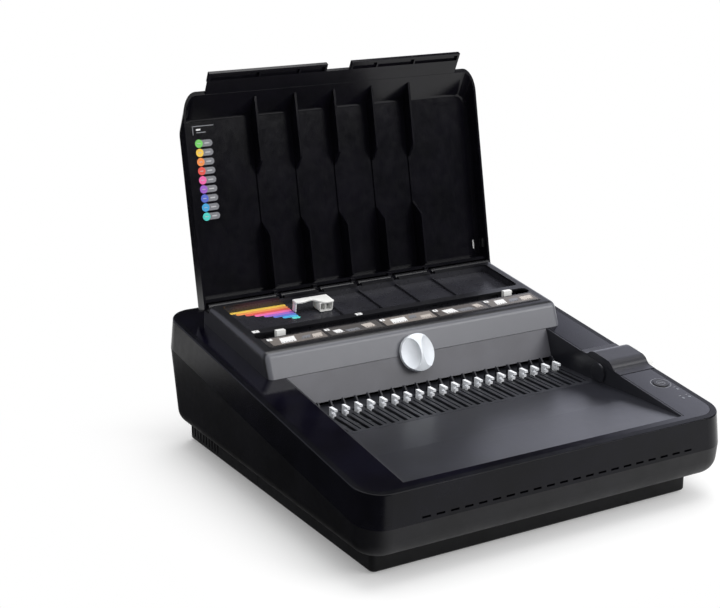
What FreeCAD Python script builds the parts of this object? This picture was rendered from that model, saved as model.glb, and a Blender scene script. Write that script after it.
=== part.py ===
import FreeCAD, Part
import math
import os
import Sketcher
from FreeCAD import Placement, Rotation, Vector

# Comb binding machine with its lid open. Millimetres; X right, Y back, Z up.
# The origin is the middle of the base's footprint, on the table.

SIZES = {
    # feet and base
    "foot_height": 1.5,
    "foot_radius": 10.0,
    "foot_inset": 28.0,
    "base_width": 366.4,
    "base_depth": 383.0,
    "base_height": 26.0,
    "base_wall": 3.0,
    "base_floor": 2.5,
    "base_corner": 6.0,
    "base_edge_round": 3.0,
    "base_vent_width": 2.4,
    "base_vent_height": 15.0,
    "base_vent_pitch": 7.0,
    "base_vent_start": 120.0,
    "plug_radius": 3.4,
    "plug_offset": 142.6,
    "plug_height": 19.0,
    "notch_radius": 4.5,
    "notch_offset": 106.0,
    # casing
    "casing_width": 411.2,
    "casing_front": 220.5,
    "casing_corner": 27.0,
    "casing_wall": 3.0,
    "deck_front_height": 88.17,
    "deck_angle": 7.81,
    "deck_length": 421.0,
    "deck_sheet": 1.6,
    "deck_edge_round": 1.2,
    "lip_width": 6.5,
    "lip_thickness": 1.6,
    "upper_drop": 31.7,
    "upper_flare": 2.3,
    "under_taper": 0.06,
    "under_round": 18.0,
    "plinth_height": 20.0,
    "front_vent_length": 9.0,
    "front_vent_height": 2.0,
    "front_vent_pitch": 15.0,
    "front_vent_level": 60.5,
    # work tray and comb plate
    "tray_half_width": 158.5,
    "tray_wall": 2.0,
    "tray_floor": 2.5,
    "tray_front": 13.6,
    "tray_front_level": 88.4,
    "tray_back_level": 86.0,
    "tray_crease": -140.0,
    "tray_back": -76.0,
    "comb_plate_thickness": 3.0,
    "comb_plate_back": 8.0,
    "comb_pitch": 14.2875,
    "comb_slot_front": -71.0,
    "comb_slot_back": -17.0,
    "comb_slot_width": 4.6,
    "comb_slit_front": -69.0,
    "comb_slit_back": -27.0,
    "comb_slit_width": 1.8,
    "comb_finger_width": 1.6,
    "comb_finger_height": 10.0,
    "comb_finger_front": -22.0,
    "comb_finger_back": -8.0,
    # fascia and punch block
    "seam_back": 234.0,
    "seam_gap": 0.5,
    "fascia_height": 28.5,
    "fascia_lean": 19.5,
    "fascia_thickness": 2.5,
    "block_half_width": 178.0,
    "block_height": 23.0,
    "block_front_lean": 13.0,
    "block_back": 386.0,
    "block_wall": 2.5,
    "block_front_round": 9.0,
    "block_edge_round": 6.0,
    "paper_slot_front": 279.3,
    "paper_slot_width": 13.0,
    "paper_slot_half_length": 168.0,
    "strip_front": 257.5,
    "strip_width": 20.5,
    "strip_half_length": 166.0,
    "strip_thickness": 0.6,
    "storage_front": 301.5,
    "storage_length": 64.5,
    "storage_half_width": 166.0,
    "storage_floor_level": 14.0,
    "storage_wall": 2.0,
    "storage_corner": 5.0,
    "partition_height": 2.5,
    "partition_width": 1.6,
    "gauge_left": -92.5,
    "gauge_width": 41.0,
    "gauge_front": 330.0,
    "gauge_length": 19.0,
    "gauge_height": 12.2,
    "gauge_wall": 2.2,
    "gauge_top": 3.0,
    "gauge_span": 25.0,
    # lid
    "divider_pitch": 47.6,
    "divider_width": 2.4,
    "hinge_back": 375.5,
    "hinge_lift": -4.5,
    "hinge_bar_radius": 4.2,
    "hinge_pin_radius": 1.5,
    "hinge_gap": 6.4,
    "lug_width": 5.0,
    "lug_reach": 3.6,
    "hinge_trough_front": 5.2,
    "hinge_floor_drop": 3.7,
    "hinge_floor_thickness": 4.3,
    "lid_lean": 10.8,
    "lid_half_width": 181.0,
    "lid_depth": 21.0,
    "lid_wall": 2.5,
    "lid_bottom": 5.3,
    "lid_sill": 3.4,
    "lid_sill_set_back": 5.0,
    "lid_side_drop": 7.0,
    "lid_panel_top": 195.5,
    "lid_shoulder": 223.5,
    "lid_corner": 16.0,
    "lid_back_round": 7.0,
    "lid_cove": 5.0,
    "lip_half_width": 154.0,
    "lip_seat": 13.5,
    "lip_reach": 22.3,
    "lip_channel": 1.6,
    "lip_skin": 1.3,
    "lip_rib": 1.6,
    "lip_notch_half_width": 15.0,
    "divider_low_top": 81.0,
    "divider_high_bottom": 132.0,
    "divider_ridge": 1.5,
    "divider_chamfer": 14.0,
    # knob and paper guides
    "knob_offset": -9.0,
    "knob_lean": 24.5,
    "knob_radius": 19.5,
    "knob_thickness": 9.0,
    "knob_gap": 1.5,
    "knob_dish_radius": 16.0,
    "knob_dish_depth": 3.0,
    "knob_fin_width": 6.0,
    "knob_fin_height": 6.5,
    "knob_round": 2.0,
    "knob_shaft_radius": 4.0,
    "guide_module": 1.4,
    "guide_gear_front": -7.0,
    "guide_gear_width": 8.0,
    "guide_rest": 139.7,
    "guide_width": 10.0,
    "guide_tab_thickness": 5.0,
    "guide_tab_height": 3.2,
    "guide_bar_half_length": 58.0,
    "guide_bar_thickness": 6.0,
    # lever and hooks
    "lever_back": -79.0,
    "lever_height": 96.0,
    "lever_shaft_radius": 6.0,
    "lever_gap": 2.6,
    "lever_thickness": 8.0,
    "lever_hub_radius": 15.0,
    "lever_length": 92.0,
    "lever_drop": 18.0,
    "lever_arm_width": 15.0,
    "grip_radius": 8.0,
    "grip_length": 16.0,
    "bush_radius": 8.0,
    "bush_flange_radius": 10.5,
    "boss_radius": 11.0,
    "boss_length": 2.2,
    "boss_round": 1.5,
    "cover_width": 46.0,
    "cover_top_width": 30.0,
    "cover_height": 7.5,
    "cover_top_round": 14.0,
    "cover_foot_round": 9.0,
    "hook_module": 2.0,
    "sector_start": 165.0,
    "sector_width": 8.0,
    "hook_rest": -25.0,
    "hook_width": 3.4,
    "hook_stem": 4.2,
    "hook_top": 95.0,
    "hook_reach": 6.5,
    "hook_second_reach": 4.0,
    "carriage_depth": 16.0,
    "carriage_bottom": 60.0,
    "carriage_height": 10.0,
    "carriage_half_length": 150.0,
    "hook_rack_height": 8.5,
    "rod_radius": 4.0,
    "rod_offset": 110.0,
    "rod_front": -88.0,
    "rod_back": -2.0,
    "post_width": 14.0,
    "post_depth": 8.0,
    # deck controls
    "button_inset": 19.3,
    "button_back": 78.4,
    "button_radius": 8.0,
    "button_height": 0.8,
    "button_depth": 8.0,
    "button_travel": 1.5,
    "lens_radius": 1.6,
    "lens_inset": 16.6,
    "lens_front": 43.5,
    "lens_pitch": 9.0,
    "board_inset": 37.6,
    "board_width": 30.0,
    "board_front": 30.0,
    "board_length": 75.0,
    "board_thickness": 1.6,
    # punch
    "throat_middle": 59.5,
    "throat_width": 3.0,
    "die_thickness": 8.0,
    "die_bottom": 72.0,
    "die_top": 120.0,
    "plate_inner": 164.0,
    "plate_thickness": 4.0,
    "plate_front": 16.0,
    "plate_back": 174.0,
    "plate_head_room": 5.0,
    "arch_margin": 2.0,
    "hole_level": 90.0,
    "hole_length": 8.0,
    "hole_height": 3.0,
    "depth_stop_level": 80.0,
    "depth_stop_height": 5.5,
    "pin_set_back": 1.0,
    "pin_length": 20.0,
    "bar_thickness": 12.0,
    "bar_height": 16.0,
    "bar_half_length": 160.0,
    "bar_pin_radius": 4.0,
    "bar_pin_offset": 153.0,
    "bar_pin_length": 29.0,
    "screw_radius": 2.4,
    "screw_head_radius": 4.2,
    "screw_head_height": 4.0,
    "screw_length": 16.0,
    "screw_drop": 8.0,
    "shaft_radius": 7.0,
    "shaft_back": 112.0,
    "shaft_overhang": 4.0,
    "shaft_bush_radius": 10.0,
    "cam_radius": 14.0,
    "cam_throw": 5.0,
    "cam_offset": 55.0,
    "cam_width": 12.0,
    "yoke_width": 10.0,
    "yoke_wall": 6.0,
    "yoke_play": 1.2,
    # drive
    "drive_module": 1.75,
    "drive_gap": 3.0,
    "drive_width": 10.0,
    "motor_angle": 37.8,
    "motor_radius": 25.0,
    "motor_length": 65.0,
    "motor_boss_radius": 9.0,
    "bracket_start": 155.0,
    "bracket_thickness": 3.0,
    "bracket_margin": 3.0,
    "motor_shaft_radius": 3.0,
    # chip drawer and power parts
    "drawer_front": 30.0,
    "drawer_width": 82.0,
    "drawer_end": 150.0,
    "drawer_wall": 2.0,
    "drawer_height": 19.5,
    "drawer_pull_width": 34.0,
    "drawer_pull_depth": 7.0,
    "power_board_left": -150.0,
    "power_board_width": 74.0,
    "power_board_front": 134.0,
    "power_board_depth": 38.0,
    "power_post_height": 6.0,
    "inlet_offset": -122.0,
    "inlet_level": 74.0,
    "inlet_width": 28.0,
    "inlet_height": 20.0,
    "inlet_depth": 26.0,
    "inlet_wall": 2.2,
    "inlet_proud": 4.9,
    "switch_offset": -74.0,
    "switch_width": 22.0,
    "switch_height": 27.0,
    "switch_depth": 22.0,
    "switch_wall": 2.6,
    "rocker_half_height": 9.2,
    "rocker_tilt": 8.0,
    # fits
    "touch_fit": 0.02,
    "turning_fit": 0.05,
    "sliding_fit": 0.06,
    "moving_gap": 0.4,
    "panel_gap": 0.25,
    "tooth_slack": 0.06,
}

GUIDE_TEETH = 20
SECTOR_TEETH = 26
DRIVE_TEETH = 40
MOTOR_TEETH = 16
RINGS = 21
PRESSURE_ANGLE = math.radians(20)
X_AXIS = Vector(1, 0, 0)
Y_AXIS = Vector(0, 1, 0)
Z_AXIS = Vector(0, 0, 1)

doc = FreeCAD.newDocument("comb_binding_machine")
sheet = doc.addObject("Spreadsheet::Sheet", "Sizes")
for row, (word, number) in enumerate(SIZES.items(), 1):
    sheet.set(f"A{row}", word)
    sheet.set(f"B{row}", str(number))
    sheet.setAlias(f"B{row}", word)
doc.recompute()


class Dim:
    """A size: its value now, and the expression that ties it to the sheet."""

    def __init__(self, value, text):
        self.value = float(value)
        self.text = text

    def __add__(self, other):
        other = dim(other)
        return Dim(self.value + other.value, f"({self.text} + {other.text})")

    def __sub__(self, other):
        other = dim(other)
        return Dim(self.value - other.value, f"({self.text} - {other.text})")

    def __mul__(self, other):
        other = dim(other)
        return Dim(self.value * other.value, f"{self.text} * {other.text}")

    def __truediv__(self, other):
        other = dim(other)
        return Dim(self.value / other.value, f"{self.text} / ({other.text})")

    def __neg__(self):
        return dim(0) - self

    def __radd__(self, other):
        return dim(other) + self

    def __rsub__(self, other):
        return dim(other) - self

    def __rmul__(self, other):
        return dim(other) * self


def dim(value):
    """A plain number as a Dim; a Dim stays as it is."""
    if isinstance(value, Dim):
        return value
    return Dim(value, f"({value:.6f})")


class Sheet:
    """The sheet's sizes by name."""

    def __getattr__(self, word):
        return Dim(SIZES[word], f"Sizes.{word}")


s = Sheet()


def derive(word, size):
    """Keep a worked-out size under a short name of its own."""
    item = doc.addObject("App::VarSet", word)
    item.addProperty("App::PropertyFloat", "value", "Derived", "")
    item.setExpression("value", size.text)
    return Dim(size.value, f"{item.Name}.value")


def cosine(angle):
    return Dim(math.cos(math.radians(angle.value)), f"cos(1 deg * ({angle.text}))")


def sine(angle):
    return Dim(math.sin(math.radians(angle.value)), f"sin(1 deg * ({angle.text}))")


class Frame:
    """A place to build in: a point, and a turn about X."""

    def __init__(self, word, x, y, z, angle):
        self.x = derive(f"{word}_x", dim(x))
        self.y = derive(f"{word}_y", dim(y))
        self.z = derive(f"{word}_z", dim(z))
        self.angle = dim(angle)
        self.cos = derive(f"{word}_cos", cosine(self.angle))
        self.sin = derive(f"{word}_sin", sine(self.angle))

    def point(self, y, z):
        """Machine (y, z) of a point given in this frame."""
        y, z = dim(y), dim(z)
        return self.y + y * self.cos - z * self.sin, self.z + y * self.sin + z * self.cos

    def local(self, y, z):
        """This frame's (y, z) of a point given in the machine's frame."""
        y, z = dim(y) - self.y, dim(z) - self.z
        return y * self.cos + z * self.sin, z * self.cos - y * self.sin


def bind(item, prop, size):
    item.setExpression(prop, dim(size).text)


def place(item, frame, x=0, y=0, z=0, axis="z"):
    """Put an item at a frame's point, with its Z along the frame's axis."""
    if axis == "x":
        item.Placement = Placement(Vector(), Rotation(Y_AXIS, 90))
    else:
        item.Placement = Placement(Vector(), Rotation(X_AXIS, 1))
        turn = frame.angle - 90 if axis == "y" else frame.angle
        bind(item, "Placement.Rotation.Angle", turn)
    world_y, world_z = frame.point(y, z)
    bind(item, "Placement.Base.x", frame.x + x)
    bind(item, "Placement.Base.y", world_y)
    bind(item, "Placement.Base.z", world_z)


def box(word, frame, x, y, z):
    """Block between two values each way."""
    item = doc.addObject("Part::Box", word)
    for prop, (low, high) in (("Length", x), ("Width", y), ("Height", z)):
        bind(item, prop, dim(high) - low)
    place(item, frame, x[0], y[0], z[0])
    return item


def rod(word, frame, axis, start, length, radius):
    """Round bar from a start point along one axis of the frame."""
    item = doc.addObject("Part::Cylinder", word)
    bind(item, "Radius", radius)
    bind(item, "Height", length)
    place(item, frame, *start, axis=axis)
    return item


def fuse(word, items):
    item = doc.addObject("Part::MultiFuse", word)
    item.Shapes = items
    return item


def cut(word, base, tools):
    item = doc.addObject("Part::Cut", word)
    item.Base = base
    item.Tool = tools[0] if len(tools) == 1 else fuse(f"{word}_tools", tools)
    return item


def new_body(word, frame, axis="z", start=(0, 0, 0)):
    item = doc.addObject("PartDesign::Body", word)
    if hasattr(item, "AllowCompound"):
        item.AllowCompound = True
    place(item, frame, *start, axis=axis)
    return item


def origin_part(body, role):
    return next(item for item in body.Origin.OriginFeatures if item.Role == role)


def new_sketch(body, role, offset):
    sketch = body.newObject("Sketcher::SketchObject", f"{body.Name}_sketch")
    sketch.AttachmentSupport = [(origin_part(body, role), "")]
    sketch.MapMode = "FlatFace"
    bind(sketch, "AttachmentOffset.Base.z", offset)
    return sketch


def draw(sketch, outlines):
    """Draw closed outlines of straight lines, each corner tied to its two sizes."""
    lines, rules, ties = [], [], []
    for points in outlines:
        points = [(dim(a), dim(b)) for a, b in points]
        first = len(lines)
        for n, (a, b) in enumerate(points):
            c, d = points[(n + 1) % len(points)]
            lines.append(Part.LineSegment(Vector(a.value, b.value, 0), Vector(c.value, d.value, 0)))
            here, after = first + n, first + (n + 1) % len(points)
            rules.append(Sketcher.Constraint("Coincident", here, 2, after, 1))
            for kind, size in (("DistanceX", a), ("DistanceY", b)):
                ties.append((len(rules), size))
                rules.append(Sketcher.Constraint(kind, here, 1, size.value))
    sketch.addGeometry(lines)
    sketch.addConstraint(rules)
    for n, size in ties:
        sketch.setExpression(f"Constraints[{n}]", size.text)


def feature(body, kind, sketch, length):
    item = body.newObject(f"PartDesign::{kind}", f"{body.Name}_{kind.lower()}")
    item.Profile = sketch
    bind(item, "Length", length)
    body.Tip = item
    return item


def prism(word, frame, points, x):
    """Body with a side profile of (y, z) points, from one x to another."""
    body = new_body(word, frame)
    sketch = new_sketch(body, "YZ_Plane", x[0])
    draw(sketch, [points])
    feature(body, "Pad", sketch, dim(x[1]) - x[0])
    return body


def plate(word, frame, points, z):
    """Body with a plan outline of (x, y) points, from one z to another."""
    body = new_body(word, frame)
    sketch = new_sketch(body, "XY_Plane", z[0])
    draw(sketch, [points])
    feature(body, "Pad", sketch, dim(z[1]) - z[0])
    return body


def disc(word, frame, axis, start, length, radius):
    """Round body that can take fillets."""
    body = new_body(word, frame, axis, start)
    sketch = new_sketch(body, "XY_Plane", dim(0))
    sketch.addGeometry(Part.Circle(Vector(), Z_AXIS, dim(radius).value))
    sketch.addConstraint(Sketcher.Constraint("Coincident", 0, 3, -1, 1))
    rule = sketch.addConstraint(Sketcher.Constraint("Radius", 0, dim(radius).value))
    sketch.setExpression(f"Constraints[{rule}]", dim(radius).text)
    feature(body, "Pad", sketch, length)
    return body


def rectangle(x, y):
    return [(x[0], y[0]), (x[1], y[0]), (x[1], y[1]), (x[0], y[1])]


def repeat(body, count, pitch, role="X_Axis"):
    """Repeat a body's last feature in a row."""
    last = body.Tip
    item = body.newObject("PartDesign::LinearPattern", f"{body.Name}_row")
    item.Originals = [last]
    item.Direction = (origin_part(body, role), [""])
    item.Occurrences = count
    bind(item, "Length", dim(pitch) * (count - 1))
    body.Tip = item


def middle(edge):
    return edge.valueAt((edge.FirstParameter + edge.LastParameter) / 2)


def runs_along(edge, axis):
    if edge.Curve.TypeId != "Part::GeomLine":
        return False
    return abs(edge.tangentAt(edge.FirstParameter).dot(axis)) > 0.9


def upright(edge):
    return runs_along(edge, Z_AXIS)


def round_off(body, pick, radius):
    """Fillet the edges of a body that a test picks."""
    doc.recompute()
    last = body.Tip
    names = [f"Edge{n}" for n, edge in enumerate(last.Shape.Edges, 1) if pick(edge)]
    if not names:
        raise RuntimeError(f"{body.Name}: no edge to round")
    item = body.newObject("PartDesign::Fillet", f"{body.Name}_round")
    item.Base = (last, names)
    bind(item, "Radius", radius)
    body.Tip = item


def at_level(level):
    """Test for edges that lie in a plane of constant z."""
    height = dim(level).value
    return lambda edge: all(abs(v.Point.z - height) < 0.001 for v in edge.Vertexes)


def involute(angle):
    return math.tan(angle) - angle


def tooth_angles(teeth):
    """Half angles of a tooth at its base circle and its tip."""
    base = math.pi / 2 / teeth + involute(PRESSURE_ANGLE)
    tip_slope = math.acos(teeth * math.cos(PRESSURE_ANGLE) / (teeth + 2))
    return base, base - involute(tip_slope)


def polar(radius, slack, angle, half):
    """Point at an angle, moved off by a half angle less the slack."""
    side = math.copysign(1, half)
    turned = angle + half
    x = radius * math.cos(turned) + slack * (side * math.sin(turned))
    y = radius * math.sin(turned) - slack * (side * math.cos(turned))
    return x, y


def tooth_outline(module, teeth, angle):
    """Outline of one tooth of a wheel, from below the root circle to its tip."""
    base_half, tip_half = tooth_angles(teeth)
    foot = module * (teeth / 2 - 1.9)
    tip = module * (teeth / 2 + 1)
    return [
        polar(foot, s.tooth_slack, angle, -base_half),
        polar(tip, s.tooth_slack, angle, -tip_half),
        polar(tip, s.tooth_slack, angle, tip_half),
        polar(foot, s.tooth_slack, angle, base_half),
    ]


def sector_outline(module, teeth, first, count):
    """Outline of a run of teeth of a wheel, the first one at an angle."""
    base_half, tip_half = tooth_angles(teeth)
    root = module * (teeth / 2 - 1.25)
    tip = module * (teeth / 2 + 1)
    points = []
    for n in range(count):
        angle = first + 2 * math.pi * n / teeth
        points.append(polar(root, s.tooth_slack, angle, -base_half))
        points.append(polar(tip, s.tooth_slack, angle, -tip_half))
        points.append(polar(tip, s.tooth_slack, angle, tip_half))
        points.append(polar(root, s.tooth_slack, angle, base_half))
    return points


def wheel(word, frame, axis, start, width, module, teeth, angle):
    """Gear wheel: a root disc, and one tooth repeated round it."""
    body = disc(word, frame, axis, start, width, module * (teeth / 2 - 1.25))
    sketch = new_sketch(body, "XY_Plane", dim(0))
    draw(sketch, [tooth_outline(module, teeth, angle)])
    tooth = feature(body, "Pad", sketch, width)
    ring = body.newObject("PartDesign::PolarPattern", f"{word}_teeth")
    ring.Originals = [tooth]
    ring.Axis = (origin_part(body, "Z_Axis"), [""])
    ring.Angle = 360
    ring.Occurrences = teeth
    body.Tip = ring
    return body


def rack_outline(module, start, count, pitch_level, back_level, up):
    """Outline of a rack; its teeth point up (1) or down (-1), and a gap is centred on the start."""
    half_pitch = module * (math.pi / 2)
    tip_half = module * 0.42 - s.tooth_slack
    root_half = module * 1.24 - s.tooth_slack
    tip = pitch_level + module * up
    root = pitch_level - module * (1.25 * up)
    first = start - half_pitch * 0.95
    points = [(first, back_level), (first, root)]
    for n in range(count):
        tooth = start + half_pitch * (2 * n + 1)
        points += [(tooth - root_half, root), (tooth - tip_half, tip)]
        points += [(tooth + tip_half, tip), (tooth + root_half, root)]
    last = start + half_pitch * (2 * count - 0.05)
    return points + [(last, root), (last, back_level)]


nodes = []


def node(item, word):
    """Keep an item as one of the assembly's pieces."""
    item.Label = word
    nodes.append(item)
    return item


WORLD = Frame("world", 0, 0, 0, 0)
DECK = Frame("deck", 0, -s.casing_front, s.deck_front_height, s.deck_angle)
seam_y, seam_z = DECK.point(s.seam_back, 0)
KNOB = Frame("knob", s.knob_offset, seam_y, seam_z, 90 - s.knob_lean)
hinge_level = s.block_height + s.hinge_lift
hinge_y, hinge_z = DECK.point(s.hinge_back, hinge_level)
LID = Frame("lid", 0, hinge_y, hinge_z, 90 - s.lid_lean)
LEVER = Frame("lever", 0, s.lever_back, s.lever_height, s.lever_drop)

base_x = derive("base_half_width", s.base_width / 2)
base_y = derive("base_half_depth", s.base_depth / 2)
floor_top = derive("floor_top", s.foot_height + s.base_floor)
deck_x = derive("deck_half_width", s.casing_width / 2)
button_x = derive("button_x", deck_x - s.button_inset)
lens_x = derive("lens_x", deck_x - s.lens_inset)
board_left = derive("board_left", deck_x - s.board_inset)
lever_start = derive("lever_start", deck_x + s.upper_flare + s.lever_gap)
divider_spots = [s.divider_pitch * n for n in range(-2, 3)]


def slope(level_y):
    """Height of the deck's plane over a place in the machine."""
    return DECK.z + (dim(level_y) - DECK.y) * (DECK.sin / DECK.cos)


# Base pan

pan_outline = rectangle((-base_x, base_x), (-base_y, base_y))
pan = plate("pan_block", WORLD, pan_outline, (s.foot_height, s.base_height))
round_off(pan, upright, s.base_corner)
round_off(pan, at_level(s.foot_height), s.base_edge_round)
pan_inside = box(
    "pan_inside",
    WORLD,
    (-base_x + s.base_wall, base_x - s.base_wall),
    (-base_y + s.base_wall, base_y - s.base_wall),
    (floor_top, s.base_height + 1),
)
drawer_back = derive("drawer_back", s.drawer_front + s.drawer_width)
drawer_mouth = box(
    "drawer_mouth",
    WORLD,
    (-base_x - 1, -base_x + s.base_wall + 1),
    (s.drawer_front, drawer_back),
    (floor_top, s.base_height + 1),
)
vent_side = rectangle(
    (s.base_vent_start, s.base_vent_start + s.base_vent_width),
    (s.foot_height + 5, s.foot_height + 5 + s.base_vent_height),
)
base_vents = prism("base_vents", WORLD, vent_side, (-base_x - 1, -base_x + s.base_wall + 1))
repeat(base_vents, 10, s.base_vent_pitch, "Y_Axis")
plug_start = (s.plug_offset, -base_y - 1, s.plug_height)
plug_hole = rod("plug_hole", WORLD, "y", plug_start, s.base_wall + 2, s.plug_radius + s.touch_fit)
notch_start = (s.notch_offset, -base_y - 1, s.foot_height)
base_notch = rod("base_notch", WORLD, "y", notch_start, s.base_wall, s.notch_radius)
pan_tools = [pan_inside, drawer_mouth, base_vents, plug_hole, base_notch]
node(cut("base_pan", pan, pan_tools), "base_pan")

plug_start = (s.plug_offset, -base_y - 0.4, s.plug_height)
node(rod("base_plug", WORLD, "y", plug_start, s.base_wall + 0.4, s.plug_radius), "base_plug")

foot_x = base_x - s.foot_inset
foot_y = base_y - s.foot_inset
foot_spots = [(0, 0), (foot_x, foot_y), (-foot_x, foot_y), (foot_x, -foot_y), (-foot_x, -foot_y)]
feet = []
for n, (x, y) in enumerate(foot_spots):
    feet.append(rod(f"foot_{n}", WORLD, "z", (x, y, 0), s.foot_height, s.foot_radius))
node(fuse("rubber_feet", feet), "rubber_feet")

# Casing shells, in the deck's own frame

part_level = derive("part_level", -s.upper_drop * DECK.cos)
flare = derive("flare", s.upper_flare / (s.upper_drop * DECK.cos))
shear = derive("shear", DECK.sin / DECK.cos)
part_x = derive("part_half_width", deck_x + s.upper_flare)


def front_line(level):
    return dim(level) * (shear + flare)


def back_line(level):
    return s.deck_length + dim(level) * (shear - flare)


def casing_block(word, points, half, lean, level):
    """Solid with a side profile, and sides that lean away from a half width at a level."""
    body = prism(word, DECK, points, (-deck_x - 12, deck_x + 12))
    high, low = dim(20), dim(-170)
    high_x = half + (high - level) * lean
    low_x = half + (low - level) * lean
    far = deck_x + 40
    right = [(high_x, high), (far, high), (far, low), (low_x, low)]
    left = [(-x, z) for x, z in reversed(right)]
    sketch = new_sketch(body, "XZ_Plane", dim(0))
    draw(sketch, [right, left])
    pocket = feature(body, "Pocket", sketch, dim(1200))
    pocket.SideType = "Symmetric"
    return body


def casing_corner(edge):
    return abs(edge.tangentAt(edge.FirstParameter).z) > 0.8


def upper_block(word, inset, top, bottom):
    top, bottom = dim(top), dim(bottom)
    points = [
        (front_line(top) + inset, top),
        (back_line(top) - inset, top),
        (back_line(bottom) - inset, bottom),
        (front_line(bottom) + inset, bottom),
    ]
    body = casing_block(word, points, deck_x - inset, -flare, dim(0))
    round_off(body, casing_corner, s.casing_corner - inset)
    return body


upper_outer = upper_block("upper_outer", dim(0), dim(0), part_level)
round_off(upper_outer, at_level(0), s.deck_edge_round)
upper_inner = upper_block("upper_inner", s.casing_wall, -s.lip_thickness, part_level - 2)
opening_x = deck_x - s.lip_width
deck_outline = rectangle((-opening_x, opening_x), (s.lip_width, s.deck_length - s.lip_width))
deck_opening = plate("deck_opening", DECK, deck_outline, (-s.lip_thickness - 1, dim(2)))
round_off(deck_opening, upright, s.casing_corner - s.lip_width)
vent_y, _ = DECK.point(front_line(part_level), part_level)
vent_side = rectangle((vent_y - 3, vent_y + 12), (s.front_vent_level - s.front_vent_height / 2,
                                                  s.front_vent_level + s.front_vent_height / 2))
vent_start = s.front_vent_pitch * -10 + 4 - s.front_vent_length / 2
front_vents = prism("front_vents", WORLD, vent_side, (vent_start, vent_start + s.front_vent_length))
repeat(front_vents, 21, s.front_vent_pitch)
bush_start = (deck_x - 12, s.lever_back, s.lever_height)
bush_hole = rod("bush_hole", WORLD, "x", bush_start, dim(24), s.bush_radius + s.touch_fit)
upper_tools = [upper_inner, deck_opening, front_vents, bush_hole]
node(cut("upper_casing", upper_outer, upper_tools), "upper_casing")

front_part_y, front_part_z = DECK.point(front_line(part_level), part_level)
back_part_y, back_part_z = DECK.point(back_line(part_level), part_level)
under_front = derive("under_front", front_part_y + (front_part_z - s.base_height) * s.under_taper)
under_back = derive("under_back", back_part_y - (back_part_z - s.base_height) * s.under_taper)


def lower_block(word, inset, rise, bottom):
    """Lower casing solid, set in from the outside, up to a rise above the parting line."""
    top = part_level + rise
    low_front = DECK.local(under_front + inset, bottom)
    low_back = DECK.local(under_back - inset, bottom)
    points = [
        (front_line(part_level) + inset + shear * rise, top),
        (back_line(part_level) - inset + shear * rise, top),
        low_back,
        low_front,
    ]
    body = casing_block(word, points, part_x - inset, s.under_taper, part_level)
    round_off(body, casing_corner, s.casing_corner - inset)
    sin, cos, height = DECK.sin.value, DECK.cos.value, dim(bottom).value - DECK.z.value

    def at_bottom(edge):
        return all(abs(v.Point.y * sin + v.Point.z * cos - height) < 0.001 for v in edge.Vertexes)

    round_off(body, at_bottom, s.under_round - inset)
    return body


lower_outer = lower_block("lower_outer", dim(0), dim(0), s.base_height)
lower_inner = lower_block("lower_inner", s.casing_wall, dim(2), s.base_height + s.casing_wall)
plinth_outline = rectangle((-base_x, base_x), (base_y - 30, base_y))
plinth = plate("plinth", WORLD, plinth_outline, (s.base_height, s.base_height + s.plinth_height))
round_off(plinth, upright, s.base_corner)
under_opening = box(
    "under_opening",
    WORLD,
    (-base_x + s.base_wall + 2, base_x - s.base_wall - 2),
    (-base_y + s.base_wall + 2, base_y - 15),
    (s.base_height - 1, s.base_height + s.casing_wall + 0.5),
)
inlet_x = (s.inlet_offset - s.inlet_width / 2, s.inlet_offset + s.inlet_width / 2)
inlet_z = (s.inlet_level - s.inlet_height / 2, s.inlet_level + s.inlet_height / 2)
inlet_back = derive("inlet_back", under_back + s.inlet_proud)
inlet_y = (inlet_back - s.inlet_depth, inlet_back)
switch_x = (s.switch_offset - s.switch_width / 2, s.switch_offset + s.switch_width / 2)
switch_z = (s.inlet_level - s.switch_height / 2, s.inlet_level + s.switch_height / 2)
switch_y = (inlet_back - s.switch_depth, inlet_back)


def grown(span, by):
    return dim(span[0]) - by, dim(span[1]) + by


inlet_hole = box(
    "inlet_hole",
    WORLD,
    grown(inlet_x, s.touch_fit),
    grown(inlet_y, dim(5)),
    grown(inlet_z, s.touch_fit),
)
switch_hole = box(
    "switch_hole",
    WORLD,
    grown(switch_x, s.touch_fit),
    grown(switch_y, dim(5)),
    grown(switch_z, s.touch_fit),
)
lower_solid = cut("lower_solid", fuse("lower_with_plinth", [lower_outer, plinth]), [lower_inner])
node(cut("lower_casing", lower_solid, [under_opening, inlet_hole, switch_hole]), "lower_casing")

# Deck panel

panel_x = deck_x - s.lip_width - s.panel_gap
panel_y = (s.lip_width + s.panel_gap, s.deck_length - s.lip_width - s.panel_gap)
panel = plate("panel_top", DECK, rectangle((-panel_x, panel_x), panel_y), (-s.lip_thickness, dim(0)))
round_off(panel, upright, s.casing_corner - s.lip_width - s.panel_gap)
deck_under = derive("deck_under", -s.lip_thickness - s.deck_sheet)
under_in = s.casing_wall + s.moving_gap
layer_x = deck_x - under_in
layer_y = (under_in, s.deck_length - under_in)
layer = plate(
    "panel_under", DECK, rectangle((-layer_x, layer_x), layer_y), (deck_under, -s.lip_thickness)
)
round_off(layer, upright, s.casing_corner - under_in)
tray_out = derive("tray_outside", s.tray_half_width + s.tray_wall)
board_top = derive("board_top", deck_under - 11)
board_x = (board_left, board_left + s.board_width)
board_y = (s.board_front, s.board_front + s.board_length)
posts = []
for n, (x, y) in enumerate([(a, b) for a in (0, 1) for b in (0, 1)]):
    spot = (board_x[x] + 3.5 * (1 - 2 * x), board_y[y] + 3.5 * (1 - 2 * y), board_top)
    posts.append(rod(f"board_post_{n}", DECK, "z", spot, deck_under - board_top + 0.5, dim(2.5)))
panel_mouth = box(
    "panel_mouth",
    DECK,
    (-tray_out, tray_out),
    (s.tray_front, s.block_back - s.block_wall - 30),
    (deck_under - 1, dim(1)),
)
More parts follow.
